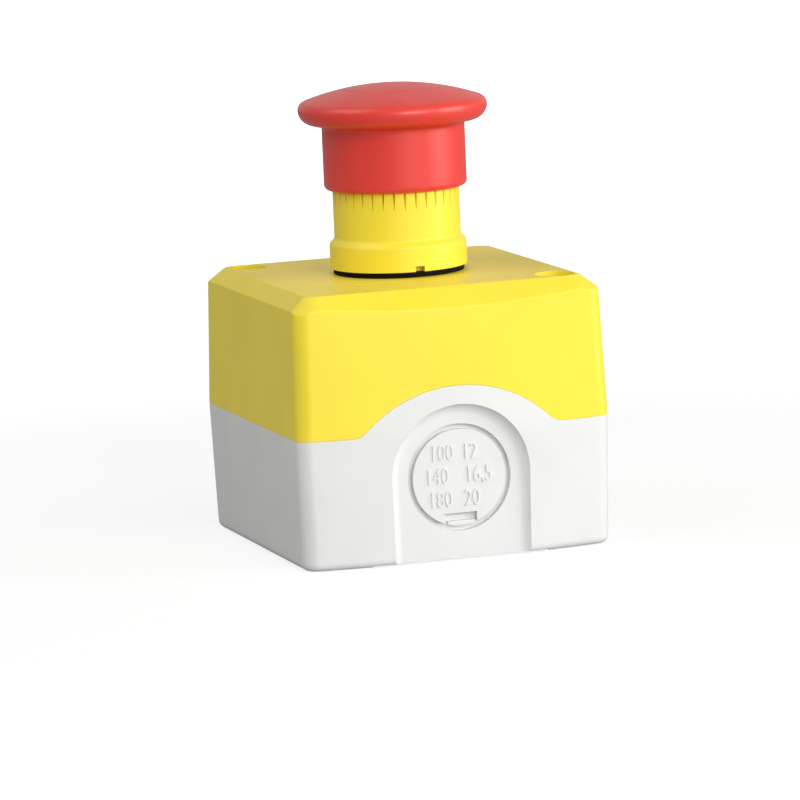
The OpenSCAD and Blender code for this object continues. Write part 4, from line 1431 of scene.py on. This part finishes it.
@dataclass(frozen=True)
class LidScrews:
    """The two screws of the lid, with rolled threads and cross recesses."""

    form: BoxForm
    fixing: LidFixing
    pitch: float = 1.3
    thread_h: float = 0.32
    thread_len: float = 14.0
    neck: float = 0.3
    tip: float = 1.2
    tip_share: float = 0.6
    tip_flat: float = 0.1
    core: float = 0.2
    clear: float = 0.5
    seat_round: float = 0.15
    head_round: float = 0.5
    cross_depth: float = 1.3
    round_steps: int = 4
    rows_per_turn: int = 10
    columns: int = 40

    def thread(self, radius: float, z: float, turn: np.ndarray) -> tuple[np.ndarray, np.ndarray]:
        """Gives one ring of the threaded shank, with a ridge that climbs round it.

        Args:
            radius: Radius of the ring without the thread.
            z: Height of the ring.
            turn: Angles of the columns.

        Returns:
            The angles and the radius at each.
        """
        reach = np.full(len(turn), radius)
        low = self.low
        if radius <= self.fixing.shank_r and low + self.tip <= z <= low + self.thread_len:
            phase = ((z - low) / self.pitch - turn / (2 * math.pi)) % 1.0
            ridge = np.maximum(0, 1 - np.abs(phase - 0.5) * 4)
            reach = radius - self.thread_h * (1 - ridge)
        return turn, reach

    @property
    def low(self) -> float:
        """Height of the screws' points."""
        return self.form.split_z - self.fixing.grip + self.clear

    def build(self, material: bpy.types.Material) -> bpy.types.Object:
        """Builds both screws as one piece and lets it stand for its node.

        Args:
            material: Finish of its slot.

        Returns:
            The piece.
        """
        fix, low = self.fixing, self.low
        seat, top, r = fix.seat_z, fix.seat_z + fix.head_h, fix.shank_r
        count = int(self.thread_len / self.pitch * self.rows_per_turn)
        levels = np.linspace(low + self.tip, low + self.thread_len + self.neck, count)
        head = softened(
            [
                (r, seat),
                (fix.head_r, seat, self.seat_round),
                (fix.head_r, top, self.head_round),
                (self.core, top),
            ],
            self.round_steps,
        )
        tip = [(self.core, low), (self.tip_share * r, low + self.tip_flat)]
        section = [*tip, *[(r, z) for z in levels], *head]
        screws = []
        for x, y in fix.places():
            made = lathe(section, self.columns, closed=False, relief=self.thread).build("screw")
            turned(made, Matrix.Translation(Vector((x, y, 0)) * METRES))
            carve(made, cross_recess(fix.head_r, top, self.cross_depth, x, y), Carve.CUT)
            screws.append(made)
        pair = screws[0]
        work = bmesh.new()
        for screw in screws:
            work.from_mesh(screw.data)
        work.to_mesh(pair.data)
        work.free()
        bpy.data.objects.remove(screws[1])
        show(pair, "lid_screw_pair", OUTER, ["lid_screws"], material)
        return pair


# Bezel and head


@dataclass(frozen=True)
class Bezel:
    """Yellow bezel: collar, sleeve with fine slits, hub for the latch and the tube below."""

    foot_z: float
    top_z: float
    r: float
    tube_low: float
    collar_h: float = 5.2
    step: float = 1.1
    wall: float = 2.0
    tube_r: float = 11.0
    tube_bore: float = 9.2
    web_low: float = 1.6
    web_top: float = 4.6
    hub_r: float = 6.4
    hub_bore: float = 4.6
    hub_top: float = 19.6
    clip_z: float = 17.6
    clip_h: float = 0.8
    clip_r: float = 5.95
    ball_z: float = 10.1
    ball_hole_r: float = 1.65
    balls: int = 3
    key_half: float = 1.6
    key_out: float = 1.0
    key_drop: float = 4.2
    slot_h: float = 10.0
    lug_half: float = 2.5
    lug_out: float = 1.3
    lug_in: float = 0.5
    lug_z: float = 6.0
    lug_h: float = 2.0
    slits: int = 36
    slit_z: float = 12.7
    slit_w: float = 0.5
    slit_depth: float = 0.85
    slit_point: float = 2.5
    slit_tip: float = 0.06
    gather: float = 2.0
    rim_h: float = 0.3
    notch_half: float = 1.0
    notch_h: float = 1.2
    notch_depth: float = 2.0
    fine_round: float = 0.2
    collar_round: float = 0.35
    mouth_round: float = 0.25
    web_round: float = 0.4
    hub_round: float = 0.3
    gather_from: float = 0.8
    gather_rows: int = 5
    point_rows: int = 9
    slit_rows: int = 8
    lug_steps: int = 6
    columns: int = 10

    @classmethod
    def from_frame(cls) -> "Bezel":
        """Takes the overall sizes from the frame's bezel and gasket.

        Returns:
            The bezel.
        """
        low, high = node_box("bezel_body")
        _, gasket = node_box("head_gasket")
        return cls(foot_z=gasket[2], top_z=high[2], r=high[0], tube_low=low[2])

    @property
    def sleeve_r(self) -> float:
        """Radius of the sleeve above the collar."""
        return self.r - self.step

    @property
    def slit_low(self) -> float:
        """Height of the slits' points."""
        return self.foot_z + self.slit_z

    def slit_ring(self, radius: float, z: float, turn: np.ndarray) -> tuple[np.ndarray, np.ndarray]:
        """Gives one ring of the sleeve, with columns drawn to the slits' mouths.

        Args:
            radius: Radius of the ring without slits.
            z: Height of the ring.
            turn: Plain angles of the columns.

        Returns:
            The angles and the radius at each; a slit is a V that opens upwards from a point.
        """
        reach = np.full(len(turn), radius)
        start = self.slit_low
        if radius < self.sleeve_r - self.rim_h or z < start - self.gather or z > self.top_z:
            return turn, reach
        number = np.arange(len(turn)) % self.columns
        number = np.where(number > self.columns // 2, number - self.columns, number)
        open_share = min(1.0, max(0.0, (z - start) / self.slit_point))
        mouth = max(open_share, self.slit_tip) * self.slit_w / 2 / self.sleeve_r
        period = 2 * math.pi / self.slits
        plain = period / self.columns
        mouth += (plain - mouth) * min(1.0, max(0.0, (start - z) / self.gather))
        rest = (period / 2 - mouth) / (self.columns / 2 - 1)
        offset = np.where(number == 0, 0.0, np.sign(number) * (mouth + (np.abs(number) - 1) * rest))
        reach = np.where(number == 0, radius - self.slit_depth * open_share, reach)
        return turn - number * plain + offset, reach

    def section(self) -> list[tuple[float, float]]:
        """Gives the half section, up the outside and down the bore.

        Returns:
            Points (radius, height) of a closed loop.
        """
        foot, sleeve, start = self.foot_z, self.sleeve_r, self.slit_low
        bore, shoulder = sleeve - self.wall, foot + self.collar_h
        point_top, rim = start + self.slit_point, self.top_z - self.rim_h
        web, hub, clip = foot + self.web_top, foot + self.hub_top, foot + self.clip_z
        fine, collar = self.fine_round, self.collar_round
        lower = softened(
            [
                (self.tube_bore, self.tube_low, fine),
                (self.tube_r, self.tube_low, fine),
                (self.tube_r, foot),
                (self.r, foot, fine),
                (self.r, shoulder, collar),
                (sleeve, shoulder + self.step, collar),
                (sleeve, start - self.gather),
            ]
        )
        levels = [
            *np.linspace(start - self.gather_from * self.gather, start, self.gather_rows),
            *np.linspace(start, point_top, self.point_rows)[1:],
            *np.linspace(point_top, rim, self.slit_rows)[1:],
        ]
        upper = softened(
            [
                (sleeve, rim),
                (sleeve, self.top_z, self.mouth_round),
                (bore, self.top_z, self.mouth_round),
                (bore, web, self.web_round),
                (self.hub_r, web, self.web_round),
                (self.hub_r, clip),
                (self.clip_r, clip),
                (self.clip_r, clip + self.clip_h),
                (self.hub_r, clip + self.clip_h),
                (self.hub_r, hub, self.hub_round),
                (self.hub_bore, hub, fine),
                (self.hub_bore, foot + self.web_low, fine),
                (self.tube_bore, foot + self.web_low, self.hub_round),
            ]
        )
        return [*lower, *[(sleeve, z) for z in levels], *upper[1:]]

    def lugs(self) -> list[bpy.types.Object]:
        """Makes the two lugs that the collar below the lid locks on.

        Returns:
            The lugs.
        """
        out = []
        low, outer_r = self.tube_low + self.lug_z, self.tube_r + self.lug_out
        reach = math.degrees(math.asin(self.lug_half / outer_r))
        for side in (0, 180):
            outer = arc((0, 0), outer_r, side - reach, side + reach, self.lug_steps)
            inner_r = self.tube_r - self.lug_in
            inner = arc((0, 0), inner_r, side + reach, side - reach, self.lug_steps)
            out.append(prism(np.array(outer + inner), low, low + self.lug_h))
        return out

    def cutters(self) -> list[bpy.types.Object]:
        """Makes the tools of the tube's slot, the notch and the holes of the balls.

        Returns:
            The tools.
        """
        foot, across = self.foot_z, self.tube_r + OVER
        slot_low, slot_top = self.tube_low - OVER, self.tube_low + self.slot_h
        tools = [
            block((-self.key_half, -across, slot_low), (self.key_half, across, slot_top)),
            block(
                (-self.notch_half, -self.r - OVER, foot - OVER),
                (self.notch_half, -self.r + self.notch_depth, foot + self.notch_h),
            ),
        ]
        spot = Matrix.Translation(Vector((0, 0, foot + self.ball_z)) * METRES)
        lay = Matrix.Rotation(math.radians(90), 4, "Y")
        for k in range(self.balls):
            spin = Matrix.Rotation(math.radians(-90 + 360 / self.balls * k), 4, "Z")
            tools.append(turned(post(self.ball_hole_r, 0, self.hub_r + OVER), spot @ (spin @ lay)))
        return tools

    def build(self, material: bpy.types.Material) -> bpy.types.Object:
        """Builds the bezel and lets it stand for its node.

        Args:
            material: Finish of its slot.

        Returns:
            The piece.
        """
        body = lathe(self.section(), self.slits * self.columns, relief=self.slit_ring).build("bezel")
        key_out = self.tube_r + self.key_out
        key = block(
            (-self.key_half, self.tube_r - OVER, self.foot_z - self.key_drop),
            (self.key_half, key_out, self.foot_z + OVER),
        )
        carve(body, [key, *self.lugs()], Carve.ADD)
        carve(body, self.cutters(), Carve.CUT)
        show(body, "bezel_moulding", OUTER, ["bezel_body"], material)
        return body


@dataclass(frozen=True)
class Gasket:
    """Black ring under the bezel."""

    low: float
    high: float
    r: float
    bore: float = 11.0
    soft: float = 0.25
    key_half: float = 1.6
    steps: int = 180

    @classmethod
    def from_frame(cls) -> "Gasket":
        """Takes the ring's size from the frame."""
        low, high = node_box("head_gasket")
        return cls(low=low[2], high=high[2], r=high[0])

    def build(self, material: bpy.types.Material) -> bpy.types.Object:
        """Builds the ring and lets it stand for its node.

        Args:
            material: Finish of its slot.

        Returns:
            The piece.
        """
        low, high, h = self.low, self.high, self.key_half
        outside = [(self.r, low, self.soft), (self.r, high, self.soft)]
        section = softened([(self.bore, low), *outside, (self.bore, high)])
        ring = lathe(section, self.steps).build("gasket")
        keyway = block((-h, 0, low - OVER), (h, self.bore + OVER, high + OVER))
        carve(ring, [keyway], Carve.CUT)
        show(ring, "bezel_gasket", OUTER, ["head_gasket"], material)
        return ring


@dataclass(frozen=True)
class Mushroom:
    """Red mushroom head: skirt, rim and dome in one moulding, with the socket for the stem."""

    low: float
    r: float
    top: float
    skirt_r: float = 15.1
    skirt_bore: float = 13.75
    skirt_round: float = 1.1
    skirt_len: float = 13.6
    rim_rise: float = 3.4
    rim_low: float = 3.1
    rim_top: float = 1.9
    dome_r: float = 55.5
    ceiling: float = 3.9
    socket_r: float = 6.6
    socket_len: float = 7.8
    spindle_r: float = 4.0
    flat: float = 3.4
    mark_r: float = 10.2
    mark_half: float = 0.22
    mark_depth: float = 0.14
    mark_soft: float = 1.5
    mark_fade: float = 4.0
    marks: int = 2
    mark_from: float = 175.0
    mark_to: float = 272.0
    dome_h: float = 3.0
    neck_gap: float = 0.2
    neck_round: float = 0.5
    mouth_round: float = 0.12
    ceiling_round: float = 0.5
    socket_round: float = 0.3
    spindle_stop: float = 1.5
    inner_gap: float = 0.6
    outer_gap: float = 0.7
    inner_rows: int = 9
    mark_rows: int = 13
    outer_rows: int = 12
    rim_steps: int = 8
    belly_steps: int = 14
    neck_steps: int = 4
    drop_rows: int = 8
    foot_steps: int = 8
    flat_steps: int = 16
    columns: int = 240
    crease: float = 35.0

    @classmethod
    def from_frame(cls) -> "Mushroom":
        """Takes the overall sizes from the frame's cap."""
        low, high = node_box("mushroom_cap")
        return cls(low=low[2], r=high[0], top=high[2])

    def section(self) -> list[tuple[float, float]]:
        """Gives the half section, from the middle of the dome to the middle of the socket.

        Returns:
            Points (radius, height) of an open line.
        """
        under = self.low + self.skirt_len
        rim_z = under + self.rim_rise
        rim_x, top_x = self.r - self.rim_low, self.r - self.rim_top
        dome_z = rim_z - math.sqrt((self.dome_r - self.rim_top) ** 2 - top_x**2)
        turn = math.degrees(math.atan2(rim_z - dome_z, top_x))
        reach = self.dome_r * math.cos(math.radians(turn))
        across = np.linspace(-self.mark_soft, self.mark_soft, self.mark_rows)
        radii = [
            CORE,
            *np.linspace(4 * CORE, self.mark_r - self.inner_gap, self.inner_rows),
            *(self.mark_r + self.mark_half * across),
            *np.linspace(self.mark_r + self.outer_gap, reach, self.outer_rows),
        ]
        dome = [(x, dome_z + math.sqrt(self.dome_r**2 - x**2)) for x in radii]
        rim = arc((top_x, rim_z), self.rim_top, turn, 0, self.rim_steps)[1:]
        belly = arc((rim_x, rim_z), self.rim_low, 0, -90, self.belly_steps)[1:]
        skirt_top = under - self.neck_gap
        skirt = softened(
            [
                (rim_x, rim_z - self.rim_low),
                (self.skirt_r, skirt_top, self.neck_round),
                (self.skirt_r, self.low + self.skirt_round),
            ],
            self.neck_steps,
        )[1:]
        foot_x, foot_z = self.skirt_r - self.skirt_round, self.low + self.skirt_round
        levels = np.linspace(skirt_top - 2 * self.neck_round, foot_z + self.neck_round, self.drop_rows)
        drop = [(self.skirt_r, z) for z in levels]
        foot = arc((foot_x, foot_z), self.skirt_round, 0, -90, self.foot_steps)
        ceiling = under + self.ceiling
        inside = softened(
            [
                (foot_x, self.low),
                (self.skirt_bore, self.low, self.mouth_round),
                (self.skirt_bore, ceiling, self.ceiling_round),
                (self.socket_r, ceiling, self.ceiling_round),
                (self.socket_r, ceiling - self.socket_len, self.socket_round),
                (CORE, ceiling - self.socket_len),
            ]
        )[1:]
        return [*dome, *rim, *belly, *skirt[:-1], *drop, *foot, *inside]

    def press_marks(self, head: bpy.types.Object) -> None:
        """Presses thin arcs into the dome, which show that the head turns.

        Args:
            head: The head, whose points on the dome are moved.
        """
        span = self.mark_to - self.mark_from
        for point in head.data.vertices:
            x, y, z = (c / METRES for c in point.co)
            off = abs(math.hypot(x, y) - self.mark_r) / self.mark_half
            if off >= self.mark_soft or z < self.top - self.dome_h:
                continue
            angle = (math.degrees(math.atan2(y, x)) - self.mark_from) % (360 / self.marks)
            ends = min(angle, span - angle) / self.mark_fade
            depth = self.mark_depth * max(0.0, 1 - off**2) * min(1.0, max(0.0, ends))
            point.co.z -= depth * METRES

    def build(self, material: bpy.types.Material) -> bpy.types.Object:
        """Builds the head and lets it stand for its node.

        Args:
            material: Finish of its slot.

        Returns:
            The piece.
        """
        head = lathe(self.section(), self.columns, closed=False).build("head")
        self.press_marks(head)
        ceiling = self.low + self.skirt_len + self.ceiling
        low, high = ceiling - self.socket_len - OVER, ceiling - self.spindle_stop
        half = math.degrees(math.acos(self.flat / self.spindle_r))
        plan = arc((0, 0), self.spindle_r, -90 + half, 90 - half, self.flat_steps)
        plan += arc((0, 0), self.spindle_r, 90 + half, 270 - half, self.flat_steps)
        carve(head, [prism(np.array(plan), low, high)], Carve.CUT)
        show(head, "mushroom_head", HEAD, ["mushroom_cap"], material, crease=self.crease)
        return head


# Springs, inner pieces and studio


@dataclass(frozen=True)
class Spring:
    """A coil spring with one end at rest, which its joint shortens; here it keeps the frame's wire
    unchanged.
    """

    node: str
    body: str
    joint: str
    fixed_z: float
    squeeze: float
    crease: float = 40.0

    @classmethod
    def all_in(cls, record: dict) -> list["Spring"]:
        """Reads the springs that a joint shortens from the record.

        Args:
            record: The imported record.

        Returns:
            The springs, with how far each is squeezed in millimetres.
        """
        joints = record["behaviour"]["joints"]
        body_of = {node: body for body, nodes in record["behaviour"]["bodies"].items() for node in nodes}
        rise = {joint["child"]: joint["axis"][2] * joint.get("range_m", (0, 0))[1] for joint in joints}
        found = []
        for joint in joints:
            for soft in joint.get("deforming_nodes", []):
                node, fixed_z = soft["node"], soft["fixed_end_z_m"]
                body = body_of[node]
                low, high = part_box(node)
                up = 1 if abs(fixed_z - low[2]) < abs(fixed_z - high[2]) else -1
                squeeze = up * (rise.get(body, 0.0) - rise[joint["child"]]) / METRES
                if squeeze > 0:
                    found.append(cls(node, body, joint["name"], fixed_z, squeeze))
        return found

    def build(self, material: bpy.types.Material) -> bpy.types.Object:
        """Builds the spring from the frame's wire and lets it stand for its node.

        Args:
            material: Finish of its slot.

        Returns:
            The piece.
        """
        coil = placed(self.node, frame["nodes"][self.node].data.copy())
        show(
            coil, f"{self.node}_coil", self.body, [self.node], material, crease=self.crease
        )
        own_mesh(coil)
        return coil


@dataclass(frozen=True)
class InnerPieces:
    """Pieces inside the box and the bezel, which keep the frame's own meshes."""

    shown_elsewhere: tuple[str, ...] = (
        "base", "lid", "lid_screws", "bezel_body", "head_gasket", "mushroom_cap",
    )
    springs: tuple[str, ...] = ()

    def dress(self, materials: dict[Slot, bpy.types.Material]) -> None:
        """Gives each piece the material of its slot in the record.

        Args:
            materials: Material of each slot.
        """
        for part in frame["record"]["subparts"]:
            node = part["node"]
            if node in self.shown_elsewhere or node in self.springs:
                continue
            mesh = frame["nodes"][node].data
            mesh.materials.clear()
            mesh.materials.append(materials[Slot(part["material_slot"])])
            log.info("%s keeps its mesh in %s", node, part["material_slot"])


def direction(azimuth: float, elevation: float) -> Vector:
    """Gives the direction from the object to a place round it.

    Args:
        azimuth: Side of the object, in degrees; 0 is the front and 90 the right.
        elevation: Angle above the floor, in degrees.

    Returns:
        The direction, of length 1.
    """
    a, e = math.radians(azimuth), math.radians(elevation)
    return Vector((math.sin(a) * math.cos(e), -math.cos(a) * math.cos(e), math.sin(e)))


@dataclass(frozen=True)
class Lamp:
    """A soft square lamp; its size and reach are in metres and its power in watts."""

    name: str
    azimuth: float
    elevation: float
    size: float
    power: float
    reach: float = 1.2
    aim_z: float = 50.0

    def build(self) -> None:
        """Makes the lamp, which looks at the middle of the object."""
        data = bpy.data.lights.new(self.name, "AREA")
        data.shape = "SQUARE"
        data.size = self.size
        data.energy = self.power
        lamp = placed(self.name, data)
        away = direction(self.azimuth, self.elevation)
        lamp.location = Vector((0, 0, self.aim_z * METRES)) + away * self.reach
        lamp.rotation_mode = "QUATERNION"
        lamp.rotation_quaternion = away.to_track_quat("Z", "Y")


@dataclass(frozen=True)
class Studio:
    """Camera at the photograph's angle, pale floor and soft light.

    Clipping distances and the two reaches of the floor's glow are in metres.
    """

    azimuth: float = -17.96
    elevation: float = 7.72
    distance: float = 1157.7
    target_z: float = 45.0
    pan: float = 0.05
    tilt: float = -0.785
    roll: float = -2.47
    lens: float = 245.86
    sensor: float = 36.0
    nearest: float = 0.05
    farthest: float = 20.0
    ambient: float = 0.24
    sheen: float = 0.42
    floor_grey: float = 0.5
    floor_r: float = 3000.0
    floor_middle: float = 200.0
    floor_gap: float = 0.05
    floor_steps: int = 64
    floor_rough: float = 0.9
    shadow_reach: float = 0.16
    white_from: float = 0.9
    near_glow: float = 0.5
    glow: float = 1.56
    lamps: tuple[Lamp, ...] = (
        Lamp("right lamp", azimuth=60, elevation=14, size=0.7, power=8.4),
        Lamp("front lamp", azimuth=8, elevation=20, size=0.6, power=7.4),
        Lamp("left lamp", azimuth=-88, elevation=50, size=0.9, power=5.1),
    )

    def camera(self) -> None:
        """Makes the camera, fitted to the edges in the photograph."""
        data = bpy.data.cameras.new("view")
        data.lens = self.lens
        data.sensor_width = self.sensor
        data.clip_start, data.clip_end = self.nearest, self.farthest
        eye = placed("view", data)
        back = direction(self.azimuth, self.elevation)
        eye.location = (Vector((0, 0, self.target_z)) + back * self.distance) * METRES
        aim = (-back).to_track_quat("-Z", "Y").to_matrix().to_4x4()
        for angle, axis in ((self.pan, "Y"), (self.tilt, "X"), (self.roll, "Z")):
            aim = aim @ Matrix.Rotation(math.radians(angle), 4, axis)
        eye.rotation_mode = "QUATERNION"
        eye.rotation_quaternion = aim.to_quaternion()
        bpy.context.scene.camera = eye

    def floor(self) -> None:
        """Makes the pale floor, which looks white but keeps the object's shadow."""
        made = Solid()
        outlines = [circle(r, self.floor_steps) for r in (self.floor_middle, self.floor_r)]
        rings = [made.ring(at_height(outline, -self.floor_gap)) for outline in outlines]
        made.skin(rings)
        made.cap(rings[0])
        ground = made.build("floor")
        material = bpy.data.materials.new("pale floor")
        material.use_nodes = True
        sheet = Sheet(material.node_tree)
        shader = next(n for n in material.node_tree.nodes if n.type == "BSDF_PRINCIPLED")
        leave = next(n for n in material.node_tree.nodes if n.type == "OUTPUT_MATERIAL")
        shader.inputs["Base Color"].default_value = (self.floor_grey, self.floor_grey, self.floor_grey, 1.0)
        shader.inputs["Roughness"].default_value = self.floor_rough
        glow = sheet.add("Emission", {"Color": (1.0, 1.0, 1.0, 1.0), "Strength": self.glow})
        place = sheet.add("NewGeometry").outputs["Position"]
        away = sheet.add("VectorMath", {0: place}, operation="LENGTH").outputs["Value"]
        fade = {"Value": away, "From Min": self.shadow_reach, "From Max": self.white_from}
        far = sheet.add("MapRange", {**fade, "To Min": self.near_glow, "To Max": 1.0})
        seen = sheet.add("LightPath").outputs["Is Camera Ray"]
        share = sheet.maths("MULTIPLY", seen, far.outputs["Result"])
        mix = sheet.add("MixShader", {0: share, 1: shader.outputs[0], 2: glow.outputs[0]})
        sheet.tree.links.new(mix.outputs[0], leave.inputs["Surface"])
        ground.data.materials.append(material)

    def sky(self) -> None:
        """Makes the even surroundings, which light the object softly and look white themselves."""
        world = bpy.data.worlds.new("surroundings")
        bpy.context.scene.world = world
        world.use_nodes = True
        sheet = Sheet(world.node_tree)
        back = next(n for n in world.node_tree.nodes if n.type == "BACKGROUND")
        path = sheet.add("LightPath")
        shine = sheet.maths("MULTIPLY", path.outputs["Is Glossy Ray"], self.sheen)
        seen = sheet.maths("MAXIMUM", path.outputs["Is Camera Ray"], shine)
        level = sheet.add("MapRange", {"Value": seen, "To Min": self.ambient, "To Max": 1.0})
        back.inputs["Color"].default_value = (1.0, 1.0, 1.0, 1.0)
        sheet.tree.links.new(level.outputs["Result"], back.inputs["Strength"])

    def build(self) -> None:
        """Sets up the whole scene round the object."""
        scene = bpy.context.scene
        scene.view_settings.view_transform = "Standard"
        self.camera()
        self.floor()
        self.sky()
        for lamp in self.lamps:
            lamp.build()
        log.info("studio ready")


def make_materials() -> dict[Slot, bpy.types.Material]:
    """Builds the material of every slot.

    Returns:
        Material by slot.
    """
    groups = ShaderGroups.make()
    finishes: dict[Slot, Finish] = {
        Slot.GREY: Moulding("light grey moulding", (0.79, 0.79, 0.775), 0.42),
        Slot.YELLOW: Moulding("yellow moulding", (0.95, 0.765, 0.04), 0.40),
        Slot.RED: Moulding("red moulding", (0.76, 0.040, 0.026), 0.40, grain=0.4, relief=0.15, coat=0.2),
        Slot.RUBBER: Rubber("black rubber", (0.004, 0.004, 0.004), 0.85),
        Slot.BLACK: Moulding("black moulding", (0.022, 0.022, 0.025), 0.5),
        Slot.WHITE: Moulding("natural moulding", (0.82, 0.80, 0.72), 0.4),
        Slot.DARK_GREY: Moulding("dark grey moulding", (0.07, 0.075, 0.08), 0.5),
        Slot.BREAK_RED: Moulding("red of a break contact", (0.5, 0.035, 0.03), 0.45),
        Slot.MAKE_GREEN: Moulding("green of a make contact", (0.03, 0.26, 0.09), 0.45),
        Slot.ZINC: Metal("zinc plated steel", (0.72, 0.73, 0.74), 0.32, tarnish=(0.55, 0.56, 0.57)),
        Slot.SPRING: Metal("spring wire", (0.52, 0.52, 0.53), 0.3, stretch=2.0, tarnish=(0.36, 0.36, 0.37)),
        Slot.BRASS: Metal("contact brass", (0.80, 0.56, 0.26), 0.3, tarnish=(0.60, 0.40, 0.18)),
    }
    return {slot: finish.make(groups) for slot, finish in finishes.items()}


def main() -> None:
    """Builds the pieces in order, dresses them and sets up the studio."""
    logging.basicConfig(level=logging.INFO, format="%(name)s: %(message)s")
    materials = make_materials()
    form = BoxForm.from_frame()
    fixing = LidFixing.from_frame()
    base = Base(form, fixing)
    base.build(materials[Slot.GREY])
    EntryNumbers(base.entry).build(materials[Slot.GREY])
    Lid(form, fixing).build(materials[Slot.YELLOW])
    LidScrews(form, fixing).build(materials[Slot.ZINC])
    Bezel.from_frame().build(materials[Slot.YELLOW])
    Gasket.from_frame().build(materials[Slot.RUBBER])
    Mushroom.from_frame().build(materials[Slot.RED])
    springs = Spring.all_in(frame["record"])
    for spring in springs:
        spring.build(materials[Slot.SPRING])
    InnerPieces(springs=tuple(s.node for s in springs)).dress(materials)
    Studio().build()


if __name__ == "__main__":
    main()
